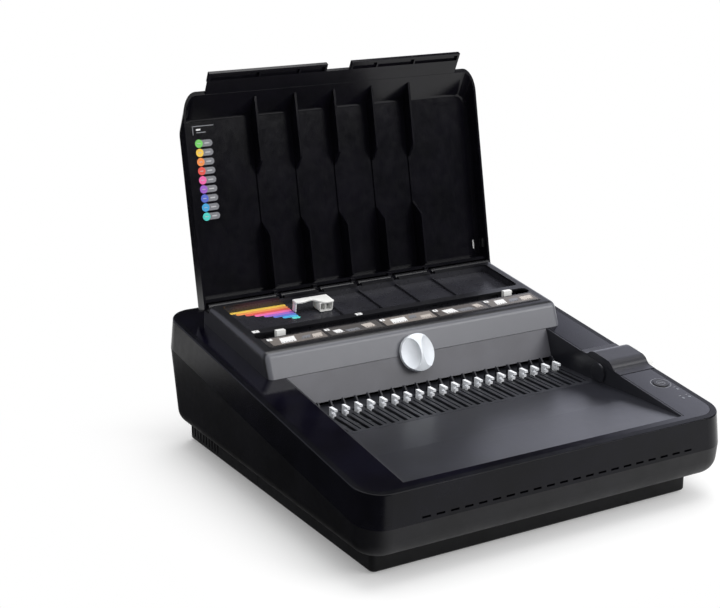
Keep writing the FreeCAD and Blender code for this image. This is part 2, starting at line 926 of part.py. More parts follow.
button_hole = rod(
    "button_hole",
    DECK,
    "z",
    (button_x, s.button_back, deck_under - 1),
    dim(8),
    s.button_radius + s.panel_gap,
)
lens_spots = [
    (lens_x - 3, s.lens_front),
    (lens_x + 5, s.lens_front),
    (lens_x + 5, s.lens_front + s.lens_pitch * 2),
]


def lenses(word, radius, bottom, top):
    items = []
    for n, (x, y) in enumerate(lens_spots):
        items.append(rod(f"{word}_{n}", DECK, "z", (x, y, bottom), dim(top) - bottom, radius))
    return items


lens_holes = lenses("lens_hole", s.lens_radius + s.touch_fit, deck_under - 1, dim(2))
panel_tools = [panel_mouth, button_hole] + lens_holes
node(cut("top_frame", fuse("panel_solid", [panel, layer] + posts), panel_tools), "top_frame")
node(fuse("indicator_lenses", lenses("lens", s.lens_radius, deck_under - 1, dim(0.2))), "indicator_lenses")

button = disc(
    "punch_button",
    DECK,
    "z",
    (button_x, s.button_back, s.button_height - s.button_depth),
    s.button_depth,
    s.button_radius,
)
round_off(button, at_level(s.button_depth), dim(0.6))
node(button, "punch_button")
board = box("board_sheet", DECK, board_x, board_y, (board_top - s.board_thickness, board_top))
switch_top = s.button_height - s.button_depth - s.button_travel - 0.2
key = box(
    "board_key",
    DECK,
    grown((button_x, button_x), dim(3)),
    grown((s.button_back, s.button_back), dim(3)),
    (board_top, switch_top),
)
chip_spot = (board_left + 10, board_left + 22)
chip = box("board_chip", DECK, chip_spot, (s.board_front + 12, s.board_front + 28), (board_top, board_top + 3))
node(fuse("control_board", [board, key, chip]), "control_board")

# Lever cover

lever_v, lever_w = DECK.local(s.lever_back, s.lever_height)
lever_v = derive("lever_v", lever_v)
half_foot, half_top = s.cover_width / 2, s.cover_top_width / 2
shoulder = derive("cover_shoulder", half_top + s.cover_height)
cover_points = [
    (lever_v - half_foot - s.cover_foot_round, dim(0)),
    (lever_v + half_foot + s.cover_foot_round, dim(0)),
    (lever_v + half_foot + s.cover_foot_round, dim(0.5)),
    (lever_v + shoulder, dim(0.5)),
    (lever_v + half_top, s.cover_height),
    (lever_v - half_top, s.cover_height),
    (lever_v - shoulder, dim(0.5)),
    (lever_v - half_foot - s.cover_foot_round, dim(0.5)),
]
cover = prism("lever_cover", DECK, cover_points, (s.tray_half_width, deck_x - s.deck_edge_round))


def cover_edge(level):
    height = dim(level).value
    centre = lever_v.value
    reach = shoulder.value + 0.1
    return lambda edge: (
        runs_along(edge, X_AXIS)
        and abs(middle(edge).z - height) < 0.01
        and abs(middle(edge).y - centre) < reach
    )


round_off(cover, cover_edge(s.cover_height), s.cover_top_round)
round_off(cover, cover_edge(0.5), s.cover_foot_round)
node(cover, "lever_cover")

# Work tray

tray_front_y, _ = DECK.point(s.tray_front, deck_under)
tray_front_y = derive("tray_front_y", tray_front_y + s.panel_gap)
floor_points = [
    (tray_front_y, s.tray_front_level),
    (s.tray_crease, s.tray_front_level),
    (s.tray_back, s.tray_back_level),
    (s.tray_back, s.tray_back_level - s.tray_floor),
    (s.tray_crease, s.tray_front_level - s.tray_floor),
    (tray_front_y, s.tray_front_level - s.tray_floor),
]
tray_floor = prism("tray_floor_sheet", WORLD, floor_points, (-tray_out, tray_out))
wall_end = derive("tray_wall_end", seam_y + 4)
wall_low = s.tray_back_level - s.tray_floor
wall_points = [
    (tray_front_y, slope(tray_front_y) - 0.3),
    (wall_end, slope(wall_end) - 0.3),
    (wall_end, wall_low),
    (s.tray_back, wall_low),
    (s.tray_crease, s.tray_front_level - s.tray_floor),
    (tray_front_y, s.tray_front_level - s.tray_floor),
]
tray_left = prism("tray_left_wall", WORLD, wall_points, (-tray_out, -s.tray_half_width))
tray_right = prism("tray_right_wall", WORLD, wall_points, (s.tray_half_width, tray_out))
boss_start = (s.tray_half_width - 1, s.lever_back, s.lever_height)
boss_hole = rod("boss_hole", WORLD, "x", boss_start, s.tray_wall + 2, s.bush_radius + s.touch_fit)
node(cut("work_tray", fuse("tray_solid", [tray_floor, tray_left, tray_right]), [boss_hole]), "work_tray")

boss = disc(
    "boss_cap",
    WORLD,
    "x",
    (s.tray_half_width - s.boss_length, s.lever_back, s.lever_height),
    s.boss_length,
    s.boss_radius,
)
round_off(boss, at_level(0), s.boss_round)
spigot = rod(
    "boss_spigot",
    WORLD,
    "x",
    (s.tray_half_width - 2, s.lever_back, s.lever_height),
    s.tray_wall + 4,
    s.bush_radius,
)
shaft_end = derive("lever_shaft_end", s.tray_half_width - s.boss_length + 4)
boss_bore = rod(
    "boss_bore",
    WORLD,
    "x",
    (shaft_end, s.lever_back, s.lever_height),
    dim(40),
    s.lever_shaft_radius + s.turning_fit,
)
boss_floor = box(
    "boss_floor",
    WORLD,
    (s.tray_half_width - 20, s.tray_half_width),
    (s.lever_back - 30, s.lever_back + 30),
    (dim(50), s.tray_front_level + 0.2),
)
node(cut("lever_boss", fuse("boss_solid", [boss, spigot]), [boss_bore, boss_floor]), "lever_boss")

# Comb plate

comb_top = s.tray_back_level
comb_bottom = s.tray_back_level - s.comb_plate_thickness
comb_outline = rectangle(
    (-s.tray_half_width, s.tray_half_width), (s.tray_back + s.panel_gap, s.comb_plate_back)
)
comb_sheet = plate("comb_sheet", WORLD, comb_outline, (comb_bottom, comb_top))
first_ring = derive("first_ring", s.comb_pitch * -10)
slot_side = rectangle(
    (s.comb_slot_front, s.comb_slot_back), (comb_bottom - 1, comb_top + 1)
)
comb_slots = prism(
    "comb_slots",
    WORLD,
    slot_side,
    (first_ring - s.comb_slot_width / 2, first_ring + s.comb_slot_width / 2),
)
repeat(comb_slots, RINGS, s.comb_pitch)
slit_side = rectangle((s.comb_slit_front, s.comb_slit_back), (comb_bottom - 1, comb_top + 1))
slit_x = first_ring - s.comb_pitch / 2
comb_slits = prism(
    "comb_slits",
    WORLD,
    slit_side,
    (slit_x - s.comb_slit_width / 2, slit_x + s.comb_slit_width / 2),
)
repeat(comb_slits, RINGS + 1, s.comb_pitch)
finger_side = [
    (s.comb_finger_front, comb_top - 1),
    (s.comb_finger_back, comb_top - 1),
    (s.comb_finger_back, comb_top + s.comb_finger_height),
    (s.comb_finger_back - 3, comb_top + s.comb_finger_height),
]
finger_x = first_ring - s.comb_pitch / 2 - s.comb_finger_width / 2
fingers = prism("comb_fingers", WORLD, finger_side, (finger_x, finger_x + s.comb_finger_width))
repeat(fingers, RINGS + 1, s.comb_pitch)
node(fuse("comb_plate_solid", [cut("comb_slotted", comb_sheet, [comb_slots, comb_slits]), fingers]), "comb_plate")

# Lower fascia and the cover of the punch

fascia_top_z = seam_z - s.seam_gap
fascia_slope = derive("fascia_slope", sine(s.fascia_lean) / cosine(s.fascia_lean))
fascia_points = [
    (seam_y, fascia_top_z),
    (seam_y - s.fascia_height * fascia_slope, fascia_top_z - s.fascia_height),
    (seam_y - s.fascia_height * fascia_slope + s.fascia_thickness, fascia_top_z - s.fascia_height),
    (seam_y + s.fascia_thickness, fascia_top_z),
]
fascia_x = s.tray_half_width
fascia = prism("fascia_sheet", WORLD, fascia_points, (-fascia_x, fascia_x))
knob_bore = rod(
    "knob_bore", KNOB, "z", (dim(0), dim(0), dim(-12)), dim(20), s.knob_shaft_radius + s.turning_fit
)
node(cut("lower_fascia", fascia, [knob_bore]), "lower_fascia")

block_front = derive("block_front", s.seam_back)
block_points = [
    (block_front, dim(0)),
    (s.block_back, dim(0)),
    (s.block_back, s.block_height),
    (block_front + s.block_front_lean, s.block_height),
]
block = prism("block_outside", DECK, block_points, (-s.block_half_width, s.block_half_width))


def block_edge(y, z):
    spot_y, spot_z = dim(y).value, dim(z).value
    return lambda edge: (
        runs_along(edge, X_AXIS)
        and abs(middle(edge).y - spot_y) < 0.01
        and abs(middle(edge).z - spot_z) < 0.01
    )


round_off(block, block_edge(block_front + s.block_front_lean, s.block_height), s.block_front_round)
round_off(block, block_edge(s.block_back, s.block_height), s.block_front_round / 2)


def block_side(edge):
    ends = [abs(abs(v.Point.x) - s.block_half_width.value) < 0.001 for v in edge.Vertexes]
    return all(ends) and not runs_along(edge, X_AXIS) and middle(edge).z > 0.001


round_off(block, block_side, s.block_edge_round)
wall = s.block_wall
inside_points = [
    (block_front + wall, dim(-1)),
    (s.block_back - wall, dim(-1)),
    (s.block_back - wall, s.block_height - wall),
    (block_front + s.block_front_lean + wall, s.block_height - wall),
    (block_front + wall, dim(0)),
]
inside_x = s.block_half_width - wall
block_inside = prism("block_inside", DECK, inside_points, (-inside_x, inside_x))
slot_y = (s.paper_slot_front, s.paper_slot_front + s.paper_slot_width)
slot_outline = rectangle((-s.paper_slot_half_length, s.paper_slot_half_length), slot_y)
paper_slot = plate("paper_slot", DECK, slot_outline, (s.block_height - wall - 1, s.block_height + 1))
round_off(paper_slot, upright, s.paper_slot_width / 2 - 0.5)
storage_y = (s.storage_front, s.storage_front + s.storage_length)
storage_x = (-s.storage_half_width, s.storage_half_width)
storage_mouth = plate(
    "storage_mouth",
    DECK,
    rectangle(storage_x, storage_y),
    (s.block_height - wall - 1, s.block_height + 1),
)
round_off(storage_mouth, upright, s.storage_corner)
trough_front = s.hinge_back - s.hinge_trough_front
trough_top = s.block_height + 1
hinge_floor = hinge_level - s.hinge_floor_drop
trough_x = grown((-s.block_half_width, s.block_half_width), 1)
trough = box("hinge_trough", DECK, trough_x, (trough_front, s.block_back + 1), (hinge_floor, trough_top))
trough_bottom = hinge_floor - s.hinge_floor_thickness
lining_front = trough_front - s.block_wall * 0.72
lining_x = grown((-inside_x, inside_x), 0.5)
lining = [
    box("hinge_floor", DECK, lining_x, (lining_front, s.block_back - 0.5), (trough_bottom, hinge_floor)),
    box("hinge_wall", DECK, lining_x, (lining_front, trough_front), (trough_bottom, s.block_height - 0.5)),
]
bar_ends = [-s.lid_half_width + 4] + divider_spots + [s.lid_half_width - 4]
bars, gap_tools = [], []
for n in range(len(bar_ends) - 1):
    left = dim(bar_ends[n]) + (s.hinge_gap / 2 if n else 0)
    right = dim(bar_ends[n + 1]) - (s.hinge_gap / 2 if n < len(bar_ends) - 2 else 0)
    start = (left, s.hinge_back, hinge_level)
    bars.append(rod(f"hinge_bar_{n}", DECK, "x", start, right - left, s.hinge_bar_radius))
lug_sweep = derive("lug_sweep", s.lug_reach * 1.4143 + s.moving_gap)
for n, spot in enumerate(divider_spots):
    gap_tools.append(
        box(
            f"hinge_pocket_{n}",
            DECK,
            grown((spot, spot), s.hinge_gap / 2),
            (storage_y[1] - 0.5, s.hinge_back + lug_sweep),
            (hinge_level - lug_sweep, hinge_level + 8),
        )
    )
pin_reach = s.lid_half_width - 6
pin_start = (-pin_reach, s.hinge_back, hinge_level)
pin_bore = rod("pin_bore", DECK, "x", pin_start, pin_reach * 2, s.hinge_pin_radius + s.touch_fit)
block_solid = fuse("block_solid", [cut("block_hollow", block, [block_inside, trough])] + lining + bars)
block_tools = [paper_slot, storage_mouth, pin_bore, knob_bore] + gap_tools
node(cut("block_cover", block_solid, block_tools), "block_cover")
node(rod("hinge_pin", DECK, "x", pin_start, pin_reach * 2, s.hinge_pin_radius), "hinge_pin")

strip_outline = rectangle(
    (-s.strip_half_length, s.strip_half_length), (s.strip_front, s.strip_front + s.strip_width)
)
strip = plate("guide_strip", DECK, strip_outline, (s.block_height, s.block_height + s.strip_thickness))
round_off(strip, upright, dim(2))
node(strip, "guide_strip")

tray_shell = plate(
    "storage_outside",
    DECK,
    rectangle(grown(storage_x, s.storage_wall), grown(storage_y, s.storage_wall)),
    (s.storage_floor_level - s.storage_wall, s.block_height - wall),
)
round_off(tray_shell, upright, s.storage_corner + s.storage_wall)
tray_space = plate(
    "storage_space",
    DECK,
    rectangle(storage_x, storage_y),
    (s.storage_floor_level, s.block_height),
)
round_off(tray_space, upright, s.storage_corner)
partitions = []
for n in (1, 2, 3, 4):
    spot = divider_spots[n]
    partitions.append(
        box(
            f"partition_{n}",
            DECK,
            grown((spot, spot), s.partition_width / 2),
            (storage_y[0] - 0.5, storage_y[1] + 0.5),
            (s.storage_floor_level - 0.5, s.storage_floor_level + s.partition_height),
        )
    )
node(fuse("storage_tray", [cut("storage_shell", tray_shell, [tray_space])] + partitions), "storage_tray")

gauge_floor = s.storage_floor_level + s.moving_gap
gauge_y = (s.gauge_front, s.gauge_front + s.gauge_length)
gauge = plate(
    "gauge_block",
    DECK,
    rectangle((s.gauge_left, s.gauge_left + s.gauge_width), gauge_y),
    (gauge_floor, gauge_floor + s.gauge_height),
)
round_off(gauge, upright, dim(3))
round_off(gauge, at_level(gauge_floor + s.gauge_height), dim(1.2))
gauge_arch = s.gauge_left + s.gauge_wall + s.gauge_span
gauge_end = s.gauge_left + s.gauge_width
gauge_post = (gauge_arch + gauge_end) / 2
gauge_roof = gauge_floor + s.gauge_height - s.gauge_top
half_post = s.gauge_wall / 4
gauge_cells = [
    ((s.gauge_left + s.gauge_wall, gauge_arch), gauge_floor - 1),
    ((gauge_arch + s.gauge_wall, gauge_post - half_post), gauge_floor + s.gauge_wall),
    ((gauge_post + half_post, gauge_end - s.gauge_wall), gauge_floor + s.gauge_wall),
]
gauge_tools = []
for n, (span, bottom) in enumerate(gauge_cells):
    gauge_tools.append(box(f"gauge_cell_{n}", DECK, span, grown(gauge_y, 1), (bottom, gauge_roof)))
node(cut("thickness_gauge", gauge, gauge_tools), "thickness_gauge")

# Lid

rise = derive("lid_rise", s.lid_shoulder - s.lid_panel_top)
run = derive("lid_run", Dim(math.hypot(rise.value, SIZES["lid_depth"]),
                            f"sqrt({rise.text}^2 + Sizes.lid_depth^2)"))
along_y = derive("lid_along_y", rise / run)
along_z = derive("lid_along_z", s.lid_depth / run)
lid_outer = prism(
    "lid_outside",
    LID,
    [
        (dim(0), dim(0)),
        (-s.lid_side_drop, -s.lid_depth),
        (s.lid_panel_top, -s.lid_depth),
        (s.lid_shoulder, dim(0)),
    ],
    (-s.lid_half_width, s.lid_half_width),
)


def lid_shoulder_edge(edge):
    spot = middle(edge)
    return abs(spot.x) > 100 and spot.y > s.lid_panel_top.value + 0.1 and not runs_along(edge, X_AXIS)


round_off(lid_outer, lid_shoulder_edge, s.lid_corner)
round_off(lid_outer, at_level(-s.lid_depth), s.lid_back_round)
set_back = derive("lid_wall_set_back", s.lid_wall / along_z)
lid_slope = derive("lid_slope", rise / s.lid_depth)
panel_face = derive("panel_face", -s.lid_depth + s.lid_wall)
sill_top = s.lid_bottom + s.lid_sill
lid_inside_x = (-s.lid_half_width + s.lid_wall, s.lid_half_width - s.lid_wall)
lid_inner = prism(
    "lid_inside",
    LID,
    [
        (sill_top, dim(1)),
        (sill_top, panel_face),
        (s.lid_panel_top + lid_slope * s.lid_wall - set_back, panel_face),
        (s.lid_shoulder + lid_slope - set_back, dim(1)),
    ],
    lid_inside_x,
)
inner_top = derive("inner_top", s.lid_panel_top + lid_slope * s.lid_wall - set_back)


def lid_inner_edge(edge):
    spot = middle(edge)
    return abs(spot.x) > 100 and spot.y > inner_top.value + 0.1 and not runs_along(edge, X_AXIS)


round_off(lid_inner, lid_inner_edge, s.lid_corner - s.lid_wall)


def panel_side(edge):
    spot = middle(edge)
    return abs(spot.x) > 100 and abs(spot.z - panel_face.value) < 0.01 and not runs_along(edge, X_AXIS)


round_off(lid_inner, panel_side, s.lid_cove)
below_sill = box(
    "below_sill",
    LID,
    lid_inside_x,
    (-s.lid_side_drop - 1, s.lid_bottom),
    (-s.lid_depth + s.lid_wall, dim(1)),
)
before_sill = box(
    "before_sill", LID, lid_inside_x, (s.lid_bottom - 1, sill_top + 1), (-s.lid_sill_set_back, dim(1))
)


def lip_point(along, out):
    """Point of the lid's lip: along its slant from the shoulder, and out from its outer face."""
    return s.lid_shoulder + along_y * along + along_z * out, along_z * along - along_y * out


def lip_piece(word, along, out, x):
    """Block on the lid's lip, between two values each way."""
    corners = [(along[0], out[0]), (along[0], out[1]), (along[1], out[1]), (along[1], out[0])]
    return prism(word, LID, [lip_point(*corner) for corner in corners], x)


lip_x = (-s.lip_half_width, s.lip_half_width)
lip = lip_piece("lid_lip", (dim(-3), s.lip_seat), (-s.lid_wall, dim(0)), lip_x)
channel_along = (s.lip_seat - s.lid_wall, s.lip_reach)
channel = lip_piece("lid_channel", channel_along, (-s.lid_wall, s.lip_channel), lip_x)
rib_half = s.lip_rib / 2
far_rib, near_rib = -s.divider_pitch * 2, -s.divider_pitch
groove_starts = [-s.lip_half_width + s.lid_wall, far_rib + rib_half, near_rib + rib_half]
groove_ends = [far_rib - rib_half, near_rib - rib_half, -s.lip_notch_half_width - s.lid_wall]
groove_along = (s.lip_seat, s.lip_reach - s.lid_wall)
groove_out = (-s.lid_wall - 1, s.lip_channel - s.lip_skin)
grooves = []
for n, (left, right) in enumerate(zip(groove_starts, groove_ends)):
    grooves.append(lip_piece(f"lip_groove_{n}", groove_along, groove_out, (left, right)))
    grooves.append(lip_piece(f"lip_groove_right_{n}", groove_along, groove_out, (-right, -left)))
notch = lip_piece(
    "lid_notch",
    (s.lip_seat, s.lip_reach + 1),
    (-s.lid_wall - 1, s.lip_channel + 1),
    (-s.lip_notch_half_width, s.lip_notch_half_width),
)
lug_top = s.lug_reach - 0.6
lug_arm = s.lid_bottom + s.lid_sill / 2
lug_back = -s.lid_sill_set_back - 4
lug_front = -s.lug_reach + 1.1
lug_side = [
    (-s.lug_reach, -s.lug_reach),
    (dim(1), lug_back),
    (lug_arm, lug_back),
    (lug_arm, lug_front),
    (s.lug_reach, lug_front),
    (s.lug_reach, lug_top),
    (-s.lug_reach, lug_top),
]
lugs = []
for n, spot in enumerate(divider_spots):
    lugs.append(
        prism(f"lug_{n}", LID, lug_side, grown((spot, spot), s.lug_width / 2))
    )
lug_bore = rod(
    "lug_bore",
    LID,
    "x",
    (-pin_reach, dim(0), dim(0)),
    pin_reach * 2,
    s.hinge_pin_radius + s.turning_fit,
)
lid_hollow = cut("lid_hollow", lid_outer, [lid_inner, below_sill, before_sill])
lid_solid = fuse("lid_solid", [lid_hollow, lip, channel] + lugs)
node(cut("lid_shell", lid_solid, grooves + [notch, lug_bore]), "lid_shell")

low_front = -s.lid_sill_set_back - 0.5
ridge = panel_face + s.divider_ridge
divider_side = [
    (sill_top, panel_face),
    (inner_top - s.lid_cove * 0.4, panel_face),
    (inner_top + lid_slope * s.lid_cove * 0.3 - 0.3, panel_face + s.lid_cove * 0.3),
    (inner_top + lid_slope * (dim(-4) - panel_face) - 0.3, dim(-4)),
    (s.divider_high_bottom + s.divider_chamfer, dim(-4)),
    (s.divider_high_bottom, ridge),
    (s.divider_low_top, ridge),
    (s.divider_low_top - s.divider_chamfer, dim(-0.5)),
    (sill_top + 2.8, dim(-0.5)),
    (sill_top + 1.2, low_front),
    (sill_top, low_front),
]
divider_x = s.divider_pitch * -2 - s.divider_width / 2
dividers = prism("lid_dividers", LID, divider_side, (divider_x, divider_x + s.divider_width))
repeat(dividers, 5, s.divider_pitch)
node(dividers, "lid_dividers")

# Knob, pinion, racks and paper guides

knob = disc("knob_disc", KNOB, "z", (dim(0), dim(0), s.knob_gap), s.knob_thickness, s.knob_radius)
round_off(knob, at_level(s.knob_thickness), s.knob_round)
knob_top = s.knob_gap + s.knob_thickness
dish = rod(
    "knob_dish",
    KNOB,
    "z",
    (dim(0), dim(0), knob_top - s.knob_dish_depth),
    s.knob_dish_depth + 1,
    s.knob_dish_radius,
)
fin_outline = rectangle(
    (-s.knob_fin_width / 2, s.knob_fin_width / 2), (-s.knob_dish_radius - 1, s.knob_dish_radius + 1)
)
fin_z = (knob_top - s.knob_dish_depth - 0.5, knob_top - s.knob_dish_depth + s.knob_fin_height)
fin = plate("knob_fin", KNOB, fin_outline, fin_z)
round_off(fin, at_level(fin_z[1]), dim(1.5))
shaft_front = s.knob_gap + 5
knob_socket = rod(
    "knob_socket", KNOB, "z", (dim(0), dim(0), dim(0)), shaft_front, s.knob_shaft_radius + s.touch_fit
)
knob_solid = fuse("knob_solid", [cut("knob_dished", knob, [dish]), fin])
node(cut("adjuster_knob", knob_solid, [knob_socket]), "adjuster_knob")

gear_back = derive("guide_gear_back", s.guide_gear_front - s.guide_gear_width)
bar_front = derive("guide_bar_front", gear_back - s.moving_gap)
bar_back = derive("guide_bar_back", bar_front - s.guide_bar_thickness)
node(
    rod(
        "knob_shaft",
        KNOB,
        "z",
        (dim(0), dim(0), bar_back),
        shaft_front - bar_back,
        s.knob_shaft_radius,
    ),
    "knob_shaft",
)
pinion_start = (dim(0), dim(0), gear_back)
pinion = wheel(
    "pinion_blank",
    KNOB,
    "z",
    pinion_start,
    s.guide_gear_width,
    s.guide_module,
    GUIDE_TEETH,
    math.pi / 2,
)
pinion_bore = rod(
    "pinion_bore",
    KNOB,
    "z",
    (dim(0), dim(0), gear_back - 1),
    s.guide_gear_width + 2,
    s.knob_shaft_radius + s.touch_fit,
)
node(cut("guide_pinion", pinion, [pinion_bore]), "guide_pinion")

pitch_radius = derive("guide_pitch_radius", s.guide_module * (GUIDE_TEETH / 2))
rack_back = derive("guide_rack_back", pitch_radius + s.guide_module * 1.25 + 6)
rack_pitch = derive("guide_rack_pitch", s.guide_module * math.pi)
right_end = s.guide_rest + s.guide_width / 2 - s.knob_offset
left_end = s.guide_rest + s.guide_width / 2 + s.knob_offset


def guide_rack(word, side, end):
    """Rack with teeth towards the pinion, and a plain bar on to the guide."""
    start = rack_pitch * (-4 if side > 0 else -10)
    teeth = rack_outline(s.guide_module, start, 14, pitch_radius * side, rack_back * side, -side)
    if side > 0:
        start = teeth[-2][0]
        bar = (start - 1, end)
    else:
        start = teeth[0][0]
        bar = (-end, start + 1)
    root = (pitch_radius + s.guide_module * 1.25) * side
    low, high = (root, rack_back * side) if side > 0 else (rack_back * side, root)
    toothed = plate(f"{word}_teeth", KNOB, teeth, (gear_back, s.guide_gear_front))
    plain = box(f"{word}_bar", KNOB, bar, (low, high), (gear_back, s.guide_gear_front))
    return fuse(word, [toothed, plain])


node(guide_rack("right_guide_rack", 1, right_end), "right_guide_rack")
node(guide_rack("left_guide_rack", -1, left_end), "left_guide_rack")

half_throat = s.throat_width / 2
die_front = derive("die_front", s.throat_middle - half_throat - s.die_thickness)
bar_x = (-s.guide_bar_half_length, s.guide_bar_half_length)
bar_block = box("guide_bar_plate", KNOB, bar_x, (-rack_back, rack_back - 1), (bar_back, bar_front))
stand_offs = []
for n, side in enumerate((-1, 1)):
    stand_x = s.knob_offset + (s.guide_bar_half_length - 8) * side
    stand_y, stand_z = KNOB.point(0, (bar_front + bar_back) / 2)
    stand_offs.append(
        box(
            f"stand_off_{n}",
            WORLD,
            grown((stand_x, stand_x), dim(6)),
            (stand_y, die_front),
            grown((stand_z, stand_z), dim(6)),
        )
    )
bar_bore = rod(
    "bar_bore",
    KNOB,
    "z",
    (dim(0), dim(0), bar_back - 1),
    s.guide_bar_thickness + 2,
    s.knob_shaft_radius + s.turning_fit,
)
node(cut("guide_bar", fuse("guide_bar_solid", [bar_block] + stand_offs), [bar_bore]), "guide_bar")

tab_y = (s.throat_middle - s.guide_tab_thickness / 2, s.throat_middle + s.guide_tab_thickness / 2)
block_top_y, block_top_z = DECK.point(s.paper_slot_front + s.paper_slot_width / 2, s.block_height)
tab_top = derive("tab_top", block_top_z + s.guide_tab_height)
arm_low = derive("arm_low", s.die_top + s.moving_gap + 1.5)
arm_high = derive("arm_high", arm_low + 5)
right_front = KNOB.point(rack_back, s.guide_gear_front)
right_back = KNOB.point(rack_back, gear_back)
right_side = [
    right_front,
    right_back,
    (tab_y[0] - 8, arm_low),
    (tab_y[1], arm_low),
    (tab_y[1], tab_top),
    (tab_y[0], tab_top),
    (tab_y[0], arm_high),
    KNOB.point(rack_back + 3, gear_back),
    KNOB.point(rack_back + 3, s.guide_gear_front),
]
left_top = KNOB.point(-rack_back + 6, gear_back)
left_low = KNOB.point(-rack_back, gear_back)
left_side = [
    left_top,
    left_low,
    (left_low[0] + 5, left_low[1] - 1),
    (left_top[0] + 14, arm_low),
    (tab_y[1], arm_low),
    (tab_y[1], tab_top),
    (tab_y[0], tab_top),
    (tab_y[0], arm_high),
    (left_top[0] + 9, arm_high),
]
half_guide = s.guide_width / 2
right_guide = prism(
    "right_edge_guide", WORLD, right_side, (s.guide_rest - half_guide, s.guide_rest + half_guide)
)
left_guide = prism(
    "left_edge_guide", WORLD, left_side, (-s.guide_rest - half_guide, -s.guide_rest + half_guide)
)
node(right_guide, "right_edge_guide")
node(left_guide, "left_edge_guide")

# Lever, sector, rack, carriage and hooks

lever_hub = disc(
    "lever_hub",
    LEVER,
    "x",
    (lever_start, dim(0), dim(0)),
    s.lever_thickness,
    s.lever_hub_radius,
)
arm_half = s.lever_arm_width / 2
arm_points = [
    (dim(0), arm_half),
    (-s.lever_length, arm_half * 0.85),
    (-s.lever_length, arm_half * -0.85),
    (dim(0), -arm_half),
]
lever_x = (lever_start, lever_start + s.lever_thickness)
lever_arm = prism("lever_arm", LEVER, arm_points, lever_x)
lever_tip = rod(
    "lever_tip", LEVER, "x", (lever_start, -s.lever_length, dim(0)), s.lever_thickness, s.grip_radius
)
lever_bore = rod(
    "lever_bore",
    LEVER,
    "x",
    (lever_start - 1, dim(0), dim(0)),
    s.lever_thickness - 1,
    s.lever_shaft_radius + s.touch_fit,
)
lever_solid = fuse("lever_solid", [lever_hub, lever_arm, lever_tip])
node(cut("comb_lever", lever_solid, [lever_bore]), "comb_lever")
grip = disc("lever_grip", LEVER, "x", (lever_x[1], -s.lever_length, dim(0)), s.grip_length, s.grip_radius)
round_off(grip, at_level(s.grip_length), dim(3))
node(grip, "lever_grip")
shaft_stop = lever_start + s.lever_thickness - 2
node(
    rod(
        "lever_shaft",
        LEVER,
        "x",
        (shaft_end + s.panel_gap, dim(0), dim(0)),
        shaft_stop - shaft_end - s.panel_gap,
        s.lever_shaft_radius,
    ),
    "lever_shaft",
)
bush_inner = deck_x - s.casing_wall - 1
bush_outer = derive("bush_outer", deck_x + s.upper_flare * 0.7)
barrel = rod("bush_barrel", LEVER, "x", (bush_inner, dim(0), dim(0)), bush_outer - bush_inner, s.bush_radius)
flange_end = lever_start - s.moving_gap
flange = rod(
    "bush_flange", LEVER, "x", (bush_outer, dim(0), dim(0)), flange_end - bush_outer, s.bush_flange_radius
)
bush_bore = rod(
    "bush_bore", LEVER, "x", (bush_inner - 1, dim(0), dim(0)), dim(20), s.lever_shaft_radius + s.turning_fit
)
node(cut("lever_bush", fuse("bush_solid", [barrel, flange]), [bush_bore]), "lever_bush")

sector_x = (s.sector_start, s.sector_start + s.sector_width)
step = 2 * math.pi / SECTOR_TEETH
sector_teeth = sector_outline(s.hook_module, SECTOR_TEETH, -step, 9)
sector_side = [(s.lever_back + y, s.lever_height - x) for x, y in sector_teeth]
sector_side.append((s.lever_back + 7, s.lever_height + 1))
sector_side.append((s.lever_back - 6, s.lever_height - 1))
sector = prism("sector_blank", WORLD, sector_side, sector_x)
hub_radius = s.lever_shaft_radius + 2
sector_hub = rod("sector_hub", LEVER, "x", (sector_x[0], dim(0), dim(0)), s.sector_width, hub_radius)
sector_bore = rod(
    "sector_bore",
    LEVER,
    "x",
    (sector_x[0] - 1, dim(0), dim(0)),
    s.sector_width + 2,
    s.lever_shaft_radius + s.touch_fit,
)
node(cut("lever_sector", fuse("sector_solid", [sector, sector_hub]), [sector_bore]), "lever_sector")

sector_radius = derive("sector_radius", s.hook_module * (SECTOR_TEETH / 2))
rack_level = derive("hook_rack_level", s.lever_height - sector_radius)
rack_low = rack_level - s.hook_module * 1.25 - s.hook_rack_height
hook_pitch = derive("hook_rack_pitch", s.hook_module * math.pi)
rack_side = rack_outline(s.hook_module, s.lever_back - hook_pitch * 2, 10, rack_level, rack_low, 1)
node(prism("hook_rack", WORLD, rack_side, sector_x), "hook_rack")

carriage_y = grown((s.hook_rest, s.hook_rest), s.carriage_depth / 2)
carriage_top = derive("carriage_top", s.carriage_bottom + s.carriage_height)
carriage_bar = box(
    "carriage_bar",
    WORLD,
    (-s.carriage_half_length, s.sector_start),
    carriage_y,
    (s.carriage_bottom, carriage_top),
)
rod_level = derive("rod_level", s.carriage_bottom + s.carriage_height / 2)
rod_bores, rods = [], []
for n, side in enumerate((-1, 1)):
    start = (s.rod_offset * side, s.rod_front, rod_level)
    length = s.rod_back - s.rod_front
    rod_bores.append(rod(f"rod_bore_{n}", WORLD, "y", start, length, s.rod_radius + s.sliding_fit))
    rods.append(rod(f"carriage_rod_{n}", WORLD, "y", start, length, s.rod_radius))
node(cut("hook_carriage", carriage_bar, rod_bores), "hook_carriage")
node(fuse("carriage_rods", rods), "carriage_rods")
post_list = []
for n, (side, end) in enumerate([(a, b) for a in (-1, 1) for b in (0, 1)]):
    x = s.rod_offset * side
    y = (s.rod_front, s.rod_front + s.post_depth) if end == 0 else (s.rod_back - s.post_depth, s.rod_back)
    post_list.append(
        box(f"rail_post_{n}", WORLD, grown((x, x), s.post_width / 2), y, (floor_top, carriage_top + 2))
    )
post_bores = []
